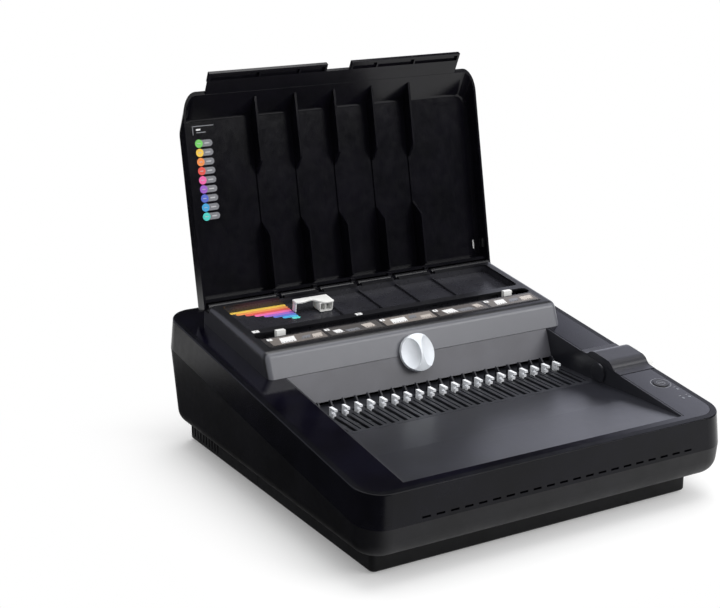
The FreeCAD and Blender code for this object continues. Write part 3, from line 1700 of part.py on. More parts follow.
for n, side in enumerate((-1, 1)):
    start = (s.rod_offset * side, s.rod_front - 1, rod_level)
    length = s.rod_back - s.rod_front + 2
    post_bores.append(rod(f"post_bore_{n}", WORLD, "y", start, length, s.rod_radius + s.touch_fit))
node(cut("rail_posts", fuse("post_blocks", post_list), post_bores), "rail_posts")

stem_front = s.hook_rest - s.hook_stem / 2
stem_back = s.hook_rest + s.hook_stem / 2
hook_side = [
    (stem_back, carriage_top),
    (stem_back, s.hook_top),
    (stem_front - s.hook_reach, s.hook_top),
    (stem_front - s.hook_reach, s.hook_top - 2.4),
    (stem_front, s.hook_top - 2.4),
    (stem_front, s.hook_top - 5.2),
    (stem_front - s.hook_second_reach, s.hook_top - 5.2),
    (stem_front - s.hook_second_reach, s.hook_top - 7.6),
    (stem_front, s.hook_top - 7.6),
    (stem_front, carriage_top),
]
hook_x = (first_ring - s.hook_width / 2, first_ring + s.hook_width / 2)
hooks = prism("comb_hooks", WORLD, hook_side, hook_x)
repeat(hooks, RINGS, s.comb_pitch)
node(hooks, "comb_hooks")

# Punch frame

plate_x = (s.plate_inner, s.plate_inner + s.plate_thickness)
drive_x = (plate_x[1] + s.drive_gap, plate_x[1] + s.drive_gap + s.drive_width)
drive_reach = derive("drive_reach", s.drive_module * ((DRIVE_TEETH + MOTOR_TEETH) / 2))
motor_y = derive("motor_y", s.shaft_back + drive_reach * cosine(s.motor_angle))
motor_z = derive("motor_z", s.hole_level - drive_reach * sine(s.motor_angle))
shaft_spot = (s.shaft_back, s.hole_level)
die_y = (die_front, s.throat_middle - half_throat)
rear_y = (s.throat_middle + half_throat, s.throat_middle + half_throat + s.die_thickness)
screw_spots = []
for y in ((die_y[0] + die_y[1]) / 2, (rear_y[0] + rear_y[1]) / 2):
    for z in (s.die_bottom + s.screw_drop, s.die_top - s.screw_drop):
        screw_spots.append((y, z))
plate_side = [
    (s.plate_front, floor_top),
    (s.plate_back, floor_top),
    (s.plate_back, slope(s.plate_back) - s.plate_head_room),
    (s.plate_front, slope(s.plate_front) - s.plate_head_room),
]
bush_holes = rod(
    "shaft_bush_holes",
    WORLD,
    "x",
    (-plate_x[1] - 2, *shaft_spot),
    (plate_x[1] + 2) * 2,
    s.shaft_bush_radius + s.touch_fit,
)
screw_holes = []
for n, spot in enumerate(screw_spots):
    start = (-plate_x[1] - 1, *spot)
    length = (plate_x[1] + 1) * 2
    screw_holes.append(rod(f"screw_hole_{n}", WORLD, "x", start, length, s.screw_radius + s.touch_fit))
arch = box(
    "drawer_arch",
    WORLD,
    (-plate_x[1] - 1, -plate_x[0] + 1),
    grown((s.drawer_front, drawer_back), s.arch_margin),
    (floor_top - 1, s.base_height + s.arch_margin),
)
left_plate = prism("left_plate_blank", WORLD, plate_side, (-plate_x[1], -plate_x[0]))
right_plate = prism("right_plate_blank", WORLD, plate_side, plate_x)
motor_way = rod(
    "motor_way",
    WORLD,
    "x",
    (plate_x[0] - 1, motor_y, motor_z),
    s.plate_thickness + 2,
    s.motor_shaft_radius + 1,
)
plate_tools = [bush_holes] + screw_holes
node(cut("left_side_plate", left_plate, plate_tools + [arch]), "left_side_plate")
node(cut("right_side_plate", right_plate, plate_tools + [motor_way]), "right_side_plate")

hole_x = (first_ring - s.hole_length / 2 - s.sliding_fit, first_ring + s.hole_length / 2 + s.sliding_fit)
hole_z = grown((s.hole_level, s.hole_level), s.hole_height / 2 + s.sliding_fit)
punch_holes = prism(
    "punch_holes", WORLD, rectangle((die_front - 1, rear_y[1] + 1), hole_z), hole_x
)
repeat(punch_holes, RINGS, s.comb_pitch)
bar_pin_holes = []
for n, side in enumerate((-1, 1)):
    start = (s.bar_pin_offset * side, rear_y[0] - 1, s.hole_level)
    length = s.die_thickness + 2
    bar_pin_holes.append(rod(f"bar_pin_hole_{n}", WORLD, "y", start, length, s.bar_pin_radius + s.touch_fit))
die_z = (s.die_bottom, s.die_top)
die_x = (-s.plate_inner, s.plate_inner)
front_die = box("front_die_blank", WORLD, die_x, die_y, die_z)
node(cut("front_die_plate", front_die, [punch_holes] + screw_holes[:2]), "front_die_plate")
rear_guide = box("rear_guide_blank", WORLD, die_x, rear_y, die_z)
rear_tools = [punch_holes] + screw_holes[2:] + bar_pin_holes
node(cut("rear_guide_plate", rear_guide, rear_tools), "rear_guide_plate")
stop_z = (s.depth_stop_level, s.depth_stop_level + s.depth_stop_height)
node(box("depth_stop", WORLD, die_x, (die_y[1], rear_y[0]), stop_z), "depth_stop")

screws = []
for n, spot in enumerate(screw_spots):
    for side in (-1, 1):
        word = f"screw_{n}_{'left' if side < 0 else 'right'}"
        shank = plate_x[1] - s.screw_length if side > 0 else -plate_x[1]
        head = plate_x[1] if side > 0 else -plate_x[1] - s.screw_head_height
        screws.append(rod(f"{word}_shank", WORLD, "x", (shank, *spot), s.screw_length, s.screw_radius))
        screws.append(
            rod(f"{word}_head", WORLD, "x", (head, *spot), s.screw_head_height, s.screw_head_radius)
        )
node(fuse("plate_screws", screws), "plate_screws")

bushes = []
for side in (-1, 1):
    start = plate_x[0] - 0.5 if side > 0 else -plate_x[1] - 0.5
    word = f"shaft_bush_{'left' if side < 0 else 'right'}"
    bushes.append(rod(word, WORLD, "x", (start, *shaft_spot), s.plate_thickness + 1, s.shaft_bush_radius))
shaft_space = rod(
    "shaft_space",
    WORLD,
    "x",
    (-plate_x[1] - 5, *shaft_spot),
    (plate_x[1] + 5) * 2,
    s.shaft_radius + s.turning_fit,
)
node(cut("shaft_bushes", fuse("bush_rings", bushes), [shaft_space]), "shaft_bushes")

# Punches, pressure bar, yokes and eccentric shaft

pin_front = derive("punch_front", rear_y[0] + s.pin_set_back)
pin_back = derive("punch_back", pin_front + s.pin_length)
pin_x = (first_ring - s.hole_length / 2, first_ring + s.hole_length / 2)
pin_side = rectangle((pin_front, pin_back), grown((s.hole_level, s.hole_level), s.hole_height / 2))
pins = prism("punch_pins", WORLD, pin_side, pin_x)
repeat(pins, RINGS, s.comb_pitch)
node(pins, "punch_pins")
bar_y = (pin_back, pin_back + s.bar_thickness)
bar_z = grown((s.hole_level, s.hole_level), s.bar_height / 2)
bar_blank = box("pressure_bar_blank", WORLD, (-s.bar_half_length, s.bar_half_length), bar_y, bar_z)
bar_bores, bar_pins = [], []
for n, side in enumerate((-1, 1)):
    x = s.bar_pin_offset * side
    bar_bores.append(
        rod(
            f"bar_pin_bore_{n}",
            WORLD,
            "y",
            (x, bar_y[0] - 1, s.hole_level),
            s.bar_thickness + 2,
            s.bar_pin_radius + s.sliding_fit,
        )
    )
    bar_pins.append(
        rod(
            f"bar_pin_{n}",
            WORLD,
            "y",
            (x, rear_y[0] + 1, s.hole_level),
            s.die_thickness - 1 + s.bar_pin_length,
            s.bar_pin_radius,
        )
    )
node(cut("pressure_bar", bar_blank, bar_bores), "pressure_bar")
node(fuse("bar_guide_pins", bar_pins), "bar_guide_pins")

cam_y = s.shaft_back + s.cam_throw
window_y = grown((cam_y, cam_y), s.cam_radius + s.yoke_play)
window_z = grown((s.hole_level, s.hole_level), s.cam_radius + s.cam_throw + s.yoke_play)
yokes = []
for side in (-1, 1):
    word = f"yoke_{'left' if side < 0 else 'right'}"
    x = s.cam_offset * side
    blank = box(
        word,
        WORLD,
        grown((x, x), s.yoke_width / 2),
        (bar_y[1], window_y[1] + s.yoke_wall),
        grown(window_z, s.yoke_wall),
    )
    window = box(f"{word}_window", WORLD, grown((x, x), s.yoke_width), window_y, window_z)
    yokes.append(cut(f"{word}_frame", blank, [window]))
node(fuse("cam_yokes", yokes), "cam_yokes")

shaft_x = (-plate_x[1] - s.shaft_overhang, drive_x[1] + 1)
shaft_length = shaft_x[1] - shaft_x[0]
shaft_parts = [rod("shaft_bar", WORLD, "x", (shaft_x[0], *shaft_spot), shaft_length, s.shaft_radius)]
for side in (-1, 1):
    start = (s.cam_offset * side - s.cam_width / 2, cam_y, s.hole_level)
    word = f"cam_{'left' if side < 0 else 'right'}"
    shaft_parts.append(rod(word, WORLD, "x", start, s.cam_width, s.cam_radius))
node(fuse("eccentric_shaft", shaft_parts), "eccentric_shaft")

# Drive

mesh = math.radians(90 - SIZES["motor_angle"])


def drive_wheel(word, spot, teeth, angle):
    start = (drive_x[0], *spot)
    return wheel(word, WORLD, "x", start, s.drive_width, s.drive_module, teeth, angle)


big_gear = drive_wheel("drive_blank", shaft_spot, DRIVE_TEETH, mesh + math.pi / DRIVE_TEETH)
big_bore = rod(
    "drive_bore",
    WORLD,
    "x",
    (drive_x[0] - 1, *shaft_spot),
    s.drive_width + 2,
    s.shaft_radius + s.touch_fit,
)
node(cut("drive_gear", big_gear, [big_bore]), "drive_gear")
small_gear = drive_wheel("pinion_wheel", (motor_y, motor_z), MOTOR_TEETH, mesh + math.pi)
bracket_x = (s.bracket_start, s.bracket_start + s.bracket_thickness)
stub_start = (bracket_x[0] + s.panel_gap, motor_y, motor_z)
stub = rod(
    "motor_stub", WORLD, "x", stub_start, drive_x[0] - bracket_x[0] + 1, s.motor_shaft_radius
)
node(fuse("motor_pinion", [small_gear, stub]), "motor_pinion")
bracket_y = grown((motor_y, motor_y), s.motor_radius - s.bracket_margin)
bracket_blank = box(
    "bracket_blank", WORLD, bracket_x, bracket_y, (floor_top, motor_z + s.motor_radius + 2)
)
bracket_foot = box(
    "bracket_foot",
    WORLD,
    (bracket_x[0] - 20, bracket_x[0] + 1),
    bracket_y,
    (floor_top, floor_top + s.bracket_thickness),
)
bracket_hole = rod(
    "bracket_hole",
    WORLD,
    "x",
    (bracket_x[0] - 1, motor_y, motor_z),
    s.bracket_thickness + 2,
    s.motor_shaft_radius + s.turning_fit,
)
bracket_solid = fuse("bracket_solid", [bracket_blank, bracket_foot])
node(cut("motor_bracket", bracket_solid, [bracket_hole]), "motor_bracket")
motor_start = bracket_x[0] - s.motor_length
motor_can = disc("motor_can", WORLD, "x", (motor_start, motor_y, motor_z), s.motor_length, s.motor_radius)
round_off(motor_can, at_level(0), dim(3))
motor_boss = rod(
    "motor_boss", WORLD, "x", (motor_start - 3, motor_y, motor_z), dim(4), s.motor_boss_radius
)
node(fuse("motor", [motor_can, motor_boss]), "motor")

# Chip drawer

drawer_bottom = floor_top + s.moving_gap
drawer_x = (-base_x, s.drawer_end)
drawer_y = (s.drawer_front + s.moving_gap, drawer_back - s.moving_gap)
drawer_z = (drawer_bottom, drawer_bottom + s.drawer_height)
drawer_block = box("drawer_block", WORLD, drawer_x, drawer_y, drawer_z)
drawer_space = box(
    "drawer_space",
    WORLD,
    (drawer_x[0] + s.base_wall, drawer_x[1] - s.drawer_wall),
    grown(drawer_y, -s.drawer_wall),
    (drawer_z[0] + s.drawer_wall, drawer_z[1] + 1),
)
drawer_middle = (s.drawer_front + drawer_back) / 2
drawer_pull = box(
    "drawer_pull",
    WORLD,
    (drawer_x[0] - 1, drawer_x[0] + s.base_wall + 1),
    grown((drawer_middle, drawer_middle), s.drawer_pull_width / 2),
    (drawer_z[1] - s.drawer_pull_depth, drawer_z[1] + 1),
)
node(cut("chip_drawer", drawer_block, [drawer_space, drawer_pull]), "chip_drawer")

# Power parts

supply_x = (s.power_board_left, s.power_board_left + s.power_board_width)
supply_y = (s.power_board_front, s.power_board_front + s.power_board_depth)
supply_z = (floor_top + s.power_post_height, floor_top + s.power_post_height + s.board_thickness)
supply = [box("supply_sheet", WORLD, supply_x, supply_y, supply_z)]
for n, (x, y) in enumerate([(a, b) for a in (0, 1) for b in (0, 1)]):
    spot = (supply_x[x] + 4 * (1 - 2 * x), supply_y[y] + 4 * (1 - 2 * y), floor_top)
    supply.append(rod(f"supply_post_{n}", WORLD, "z", spot, s.power_post_height + 0.2, dim(2.5)))
core_x = (supply_x[0] + 10, supply_x[0] + 38)
core_y = (supply_y[0] + 5, supply_y[1] - 5)
supply.append(box("supply_core", WORLD, core_x, core_y, (supply_z[1], supply_z[1] + 22)))
for n in (0, 1):
    spot = (supply_x[0] + 48 + 14 * n, (supply_y[0] + supply_y[1]) / 2, supply_z[1])
    supply.append(rod(f"supply_can_{n}", WORLD, "z", spot, dim(18), dim(5)))
node(fuse("power_board", supply), "power_board")

inlet_block = box("inlet_block", WORLD, inlet_x, inlet_y, inlet_z)
inlet_space = box(
    "inlet_space",
    WORLD,
    grown(inlet_x, -s.inlet_wall),
    (inlet_y[1] - 16, inlet_y[1] + 1),
    grown(inlet_z, -s.inlet_wall),
)
blades = []
for n, (dx, dz) in enumerate(((-6.5, -1.5), (0, 2.5), (6.5, -1.5))):
    blade_x = s.inlet_offset + dx
    blade_z = s.inlet_level + dz
    blades.append(
        box(
            f"inlet_blade_{n}",
            WORLD,
            grown((blade_x, blade_x), dim(1)),
            (inlet_y[1] - 17, inlet_y[1] - 3),
            grown((blade_z, blade_z), dim(2)),
        )
    )
node(fuse("power_inlet", [cut("inlet_shell", inlet_block, [inlet_space])] + blades), "power_inlet")

pivot_y = inlet_back - 5
ROCKER = Frame("rocker", s.switch_offset, pivot_y, s.inlet_level, -s.rocker_tilt)
switch_block = box("switch_block", WORLD, switch_x, switch_y, switch_z)
switch_space = box(
    "switch_space",
    WORLD,
    grown(switch_x, -s.switch_wall),
    (pivot_y - 8, inlet_back + 1),
    grown((s.inlet_level, s.inlet_level), s.rocker_half_height + 1.4),
)
rocker_x = s.switch_width / 2 - s.switch_wall - s.moving_gap
trunnion_x = s.switch_width / 2 - 0.5
trunnion_start = (-trunnion_x, dim(0), dim(0))
trunnion_bore = rod("trunnion_bore", ROCKER, "x", trunnion_start, trunnion_x * 2, s.turning_fit + 1.5)
node(cut("switch_housing", switch_block, [switch_space, trunnion_bore]), "switch_housing")
half = s.rocker_half_height
rocker_side = [
    (dim(-4), dim(-3)),
    (dim(1.5), -half),
    (dim(5.4), -half),
    (dim(4), dim(0)),
    (dim(5.4), half),
    (dim(1.5), half),
    (dim(-4), dim(3)),
]
rocker = prism("rocker_key", ROCKER, rocker_side, (-rocker_x, rocker_x))
trunnion_reach = trunnion_x - s.panel_gap
trunnion = rod(
    "rocker_trunnion", ROCKER, "x", (-trunnion_reach, dim(0), dim(0)), trunnion_reach * 2, dim(1.5)
)
node(fuse("power_switch", [rocker, trunnion]), "power_switch")

doc.recompute()
for item in doc.Objects:
    if "Invalid" in item.State or "Error" in item.State:
        raise RuntimeError(f"{item.Name}: {item.State}")
for item in nodes:
    if item.Shape.isNull() or not item.Shape.isValid():
        raise RuntimeError(f"{item.Label}: shape is not valid")

os.makedirs("parts", exist_ok=True)
for item in nodes:
    item.Shape.exportStep(f"parts/{item.Label}.step")
    box_of = item.Shape.BoundBox
    print(
        f"{item.Label:20s} solids {len(item.Shape.Solids):3d} volume {item.Shape.Volume / 1000:9.2f} cm3"
        f"  x {box_of.XMin:.1f} {box_of.XMax:.1f}  y {box_of.YMin:.1f} {box_of.YMax:.1f}"
        f"  z {box_of.ZMin:.1f} {box_of.ZMax:.1f}"
    )
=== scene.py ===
import math

import bmesh
import bpy
from mathutils import Matrix, Vector


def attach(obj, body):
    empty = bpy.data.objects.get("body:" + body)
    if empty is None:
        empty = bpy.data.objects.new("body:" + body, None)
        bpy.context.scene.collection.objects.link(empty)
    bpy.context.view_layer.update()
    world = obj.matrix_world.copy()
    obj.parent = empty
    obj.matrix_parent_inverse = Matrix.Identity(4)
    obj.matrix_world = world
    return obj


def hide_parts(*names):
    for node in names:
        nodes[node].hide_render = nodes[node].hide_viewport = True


# Looks of the comb binding machine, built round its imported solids.
# The pieces' sizes are millimetres, which MM turns into Blender's metres.
# The stage, the lamps and the camera are placed in metres.

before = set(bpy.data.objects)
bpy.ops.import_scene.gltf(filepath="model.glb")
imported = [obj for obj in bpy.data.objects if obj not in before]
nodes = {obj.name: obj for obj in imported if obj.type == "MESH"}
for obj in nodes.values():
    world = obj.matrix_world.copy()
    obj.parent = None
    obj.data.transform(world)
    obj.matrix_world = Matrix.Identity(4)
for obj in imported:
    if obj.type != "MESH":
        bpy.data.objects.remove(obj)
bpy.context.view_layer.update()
MM = 0.001


# Planes that the pieces lie on: each is a matrix whose Z points out of the surface

def sloping_plane(x, y, z, tilt):
    """Plane through a place in the machine, tilted up to the back by degrees."""
    turn = Matrix.Rotation(math.radians(tilt), 4, "X")
    return Matrix.Translation(Vector((x, y, z)) * MM) @ turn


DECK = sloping_plane(0, -220.5, 88.17, 7.81)
LID = sloping_plane(0, 149.003, 157.5245, 79.2)
KNOB = sloping_plane(-9, 11.33, 119.97, 65.5)
# Heights of the printed surfaces over those planes, and the thickness of a print
DECK_TOP = 0.0
BUTTON_TOP = 0.8
BLOCK_TOP = 23.0
STRIP_TOP = 23.6
STORAGE_FLOOR = 14.0
LID_PANEL = -18.5
INK = 0.12


# Materials

def hex_parts(colour):
    """Red, green and blue of a hex colour, from 0 to 255."""
    return [int(colour[n:n + 2], 16) for n in (1, 3, 5)]


def linear(colour):
    """An sRGB hex colour as linear RGBA."""
    parts = [part / 255 for part in hex_parts(colour)]
    return [p / 12.92 if p <= 0.04045 else ((p + 0.055) / 1.055) ** 2.4 for p in parts] + [1.0]


def add(tree, kind, inputs=None, **settings):
    """Add one node: its own settings, and the values or sockets that feed its inputs."""
    made = tree.nodes.new(kind)
    for field, value in settings.items():
        setattr(made, field, value)
    for name, value in (inputs or {}).items():
        if isinstance(value, bpy.types.NodeSocket):
            tree.links.new(value, made.inputs[name])
        else:
            made.inputs[name].default_value = value
    return made


def blank_material(name):
    material = bpy.data.materials.new(name)
    material.use_nodes = True
    material.node_tree.nodes.clear()
    return material, material.node_tree


def close_material(tree, shader):
    add(tree, "ShaderNodeOutputMaterial", {"Surface": shader.outputs[0]})


def front_reflection_painted(tree, colour, front_sheen, reach):
    """Lay a painted reflection, a grey sheen, over a colour on the faces that look to the front, as far
    back as reach in mm.
    """
    first_sheen, full_sheen = -0.45, -0.7
    mask_edge = 2
    coords = add(tree, "ShaderNodeTexCoord")
    facing = add(tree, "ShaderNodeSeparateXYZ", {"Vector": coords.outputs["Normal"]})
    place = add(tree, "ShaderNodeSeparateXYZ", {"Vector": coords.outputs["Object"]})
    fronts = add(tree, "ShaderNodeMapRange",
                 {"Value": facing.outputs["Y"], "From Min": first_sheen, "From Max": full_sheen},
                 interpolation_type="SMOOTHSTEP")
    masked = add(tree, "ShaderNodeMapRange",
                 {"Value": place.outputs["Y"], "From Min": (reach + mask_edge) * MM,
                  "From Max": reach * MM})
    share = add(tree, "ShaderNodeMath",
                {0: fronts.outputs["Result"], 1: masked.outputs["Result"]}, operation="MULTIPLY")
    # painted reflection: grey laid in the colour of the faces that look to the front
    mixed = add(tree, "ShaderNodeMixRGB",
                {"Fac": share.outputs["Value"], "Color1": colour, "Color2": linear(front_sheen)})
    return mixed.outputs["Color"]


def moulded_plastic(name, dark, light, roughness, grain, depth, level=0.5, front_sheen=None, reach=0.0):
    """Injection-moulded plastic: tool texture as fine bumps, slow drifts in tone and in gloss.

    dark and light are the ends of the drift in tone, roughness its range in gloss,
    grain the tool texture's size and depth its height, in mm, and level how much it mirrors;
    the colour given for the front, with reach, is a painted reflection: a grey sheen laid on the
    faces that look to the front. A real tool texture has grains of about 0.05 to 0.1 mm, too
    fine to show from here, so grain is drawn about ten times as coarse.
    """
    drift_size, gloss_size = 38.0, 9.0
    drift_span, gloss_span = (0.34, 0.66), (0.3, 0.7)
    material, tree = blank_material(name)
    place = add(tree, "ShaderNodeTexCoord").outputs["Object"]
    drift = add(tree, "ShaderNodeTexNoise",
                {"Vector": place, "Scale": 1 / (drift_size * MM), "Detail": 3.0, "Roughness": 0.55})
    tone = add(tree, "ShaderNodeValToRGB", {"Fac": drift.outputs["Fac"]})
    for stop, position, colour in zip(tone.color_ramp.elements, drift_span, (dark, light)):
        stop.position = position
        stop.color = linear(colour)
    gloss = add(tree, "ShaderNodeTexNoise",
                {"Vector": place, "Scale": 1 / (gloss_size * MM), "Detail": 4.0, "Roughness": 0.6})
    rough = add(tree, "ShaderNodeMapRange",
                {"Value": gloss.outputs["Fac"], "From Min": gloss_span[0], "From Max": gloss_span[1],
                 "To Min": roughness[0], "To Max": roughness[1]})
    texture = add(tree, "ShaderNodeTexNoise",
                  {"Vector": place, "Scale": 1 / (grain * MM), "Detail": 2.0, "Roughness": 0.5})
    bump = add(tree, "ShaderNodeBump",
               {"Height": texture.outputs["Fac"], "Strength": 1.0, "Distance": depth * MM})
    surface = tone.outputs["Color"]
    # a painted reflection on the front faces, where a front colour is given
    if front_sheen:
        surface = front_reflection_painted(tree, surface, front_sheen, reach)
    shader = add(tree, "ShaderNodeBsdfPrincipled",
                 {"Base Color": surface, "Roughness": rough.outputs["Result"],
                  "Normal": bump.outputs["Normal"], "IOR": 1.52, "Specular IOR Level": level})
    close_material(tree, shader)
    return material


def worked_metal(name, dark, light, roughness, scratch, stretch, depth, metallic=1.0):
    """Bare or plated metal: drawn-out scratches along X, and tone that shifts with them.

    scratch is the width of a scratch in mm, stretch how many times longer it is than wide,
    and depth how deep it goes, in mm. Real scratches are about 0.03 mm wide, too fine to show
    from here, so they are drawn ten or more times as wide.
    """
    span = (0.3, 0.7)
    material, tree = blank_material(name)
    place = add(tree, "ShaderNodeTexCoord").outputs["Object"]
    along = add(tree, "ShaderNodeMapping", {"Vector": place, "Scale": (1 / stretch, 1.0, 1.0)})
    lines = add(tree, "ShaderNodeTexNoise",
                {"Vector": along.outputs["Vector"], "Scale": 1 / (scratch * MM), "Detail": 3.0})
    tone = add(tree, "ShaderNodeValToRGB", {"Fac": lines.outputs["Fac"]})
    for stop, position, colour in zip(tone.color_ramp.elements, span, (dark, light)):
        stop.position = position
        stop.color = linear(colour)
    rough = add(tree, "ShaderNodeMapRange",
                {"Value": lines.outputs["Fac"], "From Min": span[0], "From Max": span[1],
                 "To Min": roughness[0], "To Max": roughness[1]})
    bump = add(tree, "ShaderNodeBump",
               {"Height": lines.outputs["Fac"], "Strength": 0.6, "Distance": depth * MM})
    shader = add(tree, "ShaderNodeBsdfPrincipled",
                 {"Base Color": tone.outputs["Color"], "Metallic": metallic,
                  "Roughness": rough.outputs["Result"], "Normal": bump.outputs["Normal"]})
    close_material(tree, shader)
    return material


def printed_ink(name, colour, worn):
    """Screen-printed ink: even, slightly glossy, a little thinner where the screen's mesh showed.

    A screen has a thread about every 0.1 mm, too fine to show from here, so it is drawn coarser.
    """
    screen_size, screen_depth = 0.9, 0.01
    span = (0.25, 0.5)
    material, tree = blank_material(name)
    place = add(tree, "ShaderNodeTexCoord").outputs["Object"]
    screen = add(tree, "ShaderNodeTexNoise",
                 {"Vector": place, "Scale": 1 / (screen_size * MM), "Detail": 2.0})
    tone = add(tree, "ShaderNodeValToRGB", {"Fac": screen.outputs["Fac"]})
    for stop, position, shade in zip(tone.color_ramp.elements, span, (worn, colour)):
        stop.position = position
        stop.color = linear(shade)
    bump = add(tree, "ShaderNodeBump",
               {"Height": screen.outputs["Fac"], "Strength": 0.4, "Distance": screen_depth * MM})
    shader = add(tree, "ShaderNodeBsdfPrincipled",
                 {"Base Color": tone.outputs["Color"], "Roughness": 0.42,
                  "Normal": bump.outputs["Normal"], "IOR": 1.5})
    close_material(tree, shader)
    return material


def circuit_board(name):
    """Glass-fibre board under green solder mask: pale tracks in a grid, dark gaps between them."""
    track_length, track_width, track_gap = 9.0, 2.2, 0.35
    material, tree = blank_material(name)
    place = add(tree, "ShaderNodeTexCoord").outputs["Object"]
    tracks = add(tree, "ShaderNodeTexBrick",
                 {"Vector": place, "Color1": linear("#0f4a2c"), "Color2": linear("#14603a"),
                  "Mortar": linear("#0a2f1e"), "Scale": 1.0, "Mortar Size": track_gap * MM,
                  "Brick Width": track_length * MM, "Row Height": track_width * MM})
    shader = add(tree, "ShaderNodeBsdfPrincipled",
                 {"Base Color": tracks.outputs["Color"], "Roughness": 0.35, "IOR": 1.55})
    close_material(tree, shader)
    return material


# ABS with a fine texture: a black that turns grey only where it mirrors something bright
casing_abs = moulded_plastic("moulded_abs_casing_black", "#07070b", "#0c0c12",
                             roughness=(0.2, 0.27), grain=0.8, depth=0.005, level=0.12)
# the same ABS on the lower shell: more matt, so it shows grey where it faces the light
lower_abs = moulded_plastic("moulded_abs_lower_black", "#08080b", "#0f0f13",
                            roughness=(0.42, 0.52), grain=0.8, depth=0.014, level=0.24)
# ABS from a polished tool: blue-black, with blurred but clear reflections
deck_abs = moulded_plastic("moulded_abs_deck_blue_black", "#06050c", "#0a0914",
                           roughness=(0.1, 0.14), grain=0.6, depth=0.002)
# ABS with a satin texture on the lever's cover: soft bands of light along the arch
cover_abs = moulded_plastic("moulded_abs_lever_cover_satin", "#1b1b22", "#212129",
                            roughness=(0.36, 0.42), grain=0.6, depth=0.002, level=0.7)
# ABS with a coarse texture, dull from any side
base_abs = moulded_plastic("moulded_abs_base_matt_black", "#0a0a0c", "#121214",
                           roughness=(0.5, 0.6), grain=1.1, depth=0.02, level=0.2)
# ABS in dark grey with a satin texture: a soft sheen that fades across the tray
tray_abs = moulded_plastic("moulded_abs_tray_dark_grey", "#191a1f", "#1f2027",
                           roughness=(0.3, 0.33), grain=0.7, depth=0.001, level=0.8)
# acetal, for sliding: dark grey, waxy
comb_pom = moulded_plastic("moulded_pom_comb_plate_grey", "#202126", "#292a30",
                           roughness=(0.34, 0.44), grain=0.7, depth=0.01)
# ABS under satin grey paint: an even mid grey
fascia_abs = moulded_plastic("painted_abs_fascia_grey", "#58585d", "#606066",
                             roughness=(0.34, 0.42), grain=0.6, depth=0.003)
# black ABS whose front faces get a painted reflection, a grey sheen laid in the colour: the top and the
# ends stay black
block_abs = moulded_plastic("abs_cover_black_with_painted_front_sheen", "#0f0f13", "#17171b",
                            roughness=(0.3, 0.36), grain=0.6, depth=0.001,
                            front_sheen="#5f6066", reach=34.0)
# polystyrene from a polished tool: black, with thin bright lines on its edges
lid_ps = moulded_plastic("moulded_ps_lid_black", "#08080c", "#0d0c12",
                         roughness=(0.15, 0.21), grain=0.7, depth=0.004, level=0.2)
# polystyrene in charcoal, satin: grey where it mirrors the lid's edge and the room
storage_ps = moulded_plastic("moulded_ps_storage_charcoal", "#25252a", "#2d2d33",
                             roughness=(0.24, 0.34), grain=0.7, depth=0.008)
# ABS under silver-white satin paint: bright, with soft shadows in the scoops
knob_paint = moulded_plastic("painted_abs_knob_silver", "#d3d8df", "#dde1e6",
                             roughness=(0.32, 0.4), grain=0.5, depth=0.006)
# acetal in its natural white: bright, slightly waxy
white_pom = moulded_plastic("moulded_pom_white", "#e2e2e0", "#ececea",
                            roughness=(0.38, 0.48), grain=0.6, depth=0.006)
# ABS in white with a fine texture: clean, with a soft sheen on the lever's round edges
lever_abs = moulded_plastic("moulded_abs_lever_white", "#dcdcda", "#e6e6e4",
                            roughness=(0.36, 0.46), grain=0.7, depth=0.01)
# natural nylon: cream, matt on the teeth
gear_nylon = moulded_plastic("moulded_nylon_gear_cream", "#cfc8b4", "#dcd6c4",
                             roughness=(0.45, 0.58), grain=0.6, depth=0.01, level=0.4)
# ABS with a satin face: black, a little paler than the deck round it
button_abs = moulded_plastic("moulded_abs_button_black", "#101013", "#18181c",
                             roughness=(0.3, 0.38), grain=0.6, depth=0.006)
# smoked polycarbonate, unlit: small glossy grey windows
lens_pc = moulded_plastic("moulded_pc_lens_smoke", "#55585c", "#6a6d72",
                          roughness=(0.1, 0.16), grain=0.8, depth=0.002)
# neoprene: dusty black, with hardly any shine
foot_rubber = moulded_plastic("moulded_neoprene_foot", "#141414", "#1e1e1e",
                              roughness=(0.75, 0.88), grain=0.9, depth=0.03, level=0.3)
# glass-filled PBT: a flat black round the pins and the switch
inlet_pbt = moulded_plastic("moulded_pbt_inlet_black", "#101012", "#17171a",
                            roughness=(0.4, 0.5), grain=0.8, depth=0.01, level=0.45)
# laminated paper, the strip that the pictures are printed on: charcoal under a clear gloss
strip_laminate = moulded_plastic("laminated_strip_charcoal", "#2c2b2c", "#383637",
                                 roughness=(0.22, 0.3), grain=0.9, depth=0.004)
# frosted nickel plate over pressed steel: bright and milky, with fine drawn lines;
# the frost scatters light as paint does, so it is hardly metallic
hook_nickel = worked_metal("nickel_plated_hooks", "#e6eaf0", "#fbfcfe", roughness=(0.36, 0.48),
                           scratch=0.35, stretch=10.0, depth=0.006, metallic=0.05)
# zinc-plated sheet steel: cool grey, with long rolling lines
plate_steel = worked_metal("zinc_plated_plate_steel", "#8d9196", "#aeb2b8", roughness=(0.3, 0.45),
                           scratch=0.5, stretch=18.0, depth=0.008)
# ground steel rod: brighter, with fine rings round it
ground_steel = worked_metal("ground_shaft_steel", "#a6aab0", "#c9cdd2", roughness=(0.14, 0.26),
                            scratch=0.3, stretch=0.2, depth=0.005)
# zinc-plated deep-drawn steel: a dull grey can
motor_can = worked_metal("zinc_plated_motor_can", "#8b8f92", "#a3a7aa", roughness=(0.35, 0.5),
                         scratch=0.8, stretch=6.0, depth=0.01)
# sintered bronze, oily: brown, with a fine even grain
bush_bronze = worked_metal("sintered_bronze_bush", "#7a5a34", "#93703f", roughness=(0.4, 0.55),
                           scratch=0.4, stretch=1.0, depth=0.01)
# glass-fibre board: green, with a grid of tracks
board_fr4 = circuit_board("glass_fibre_board_green")
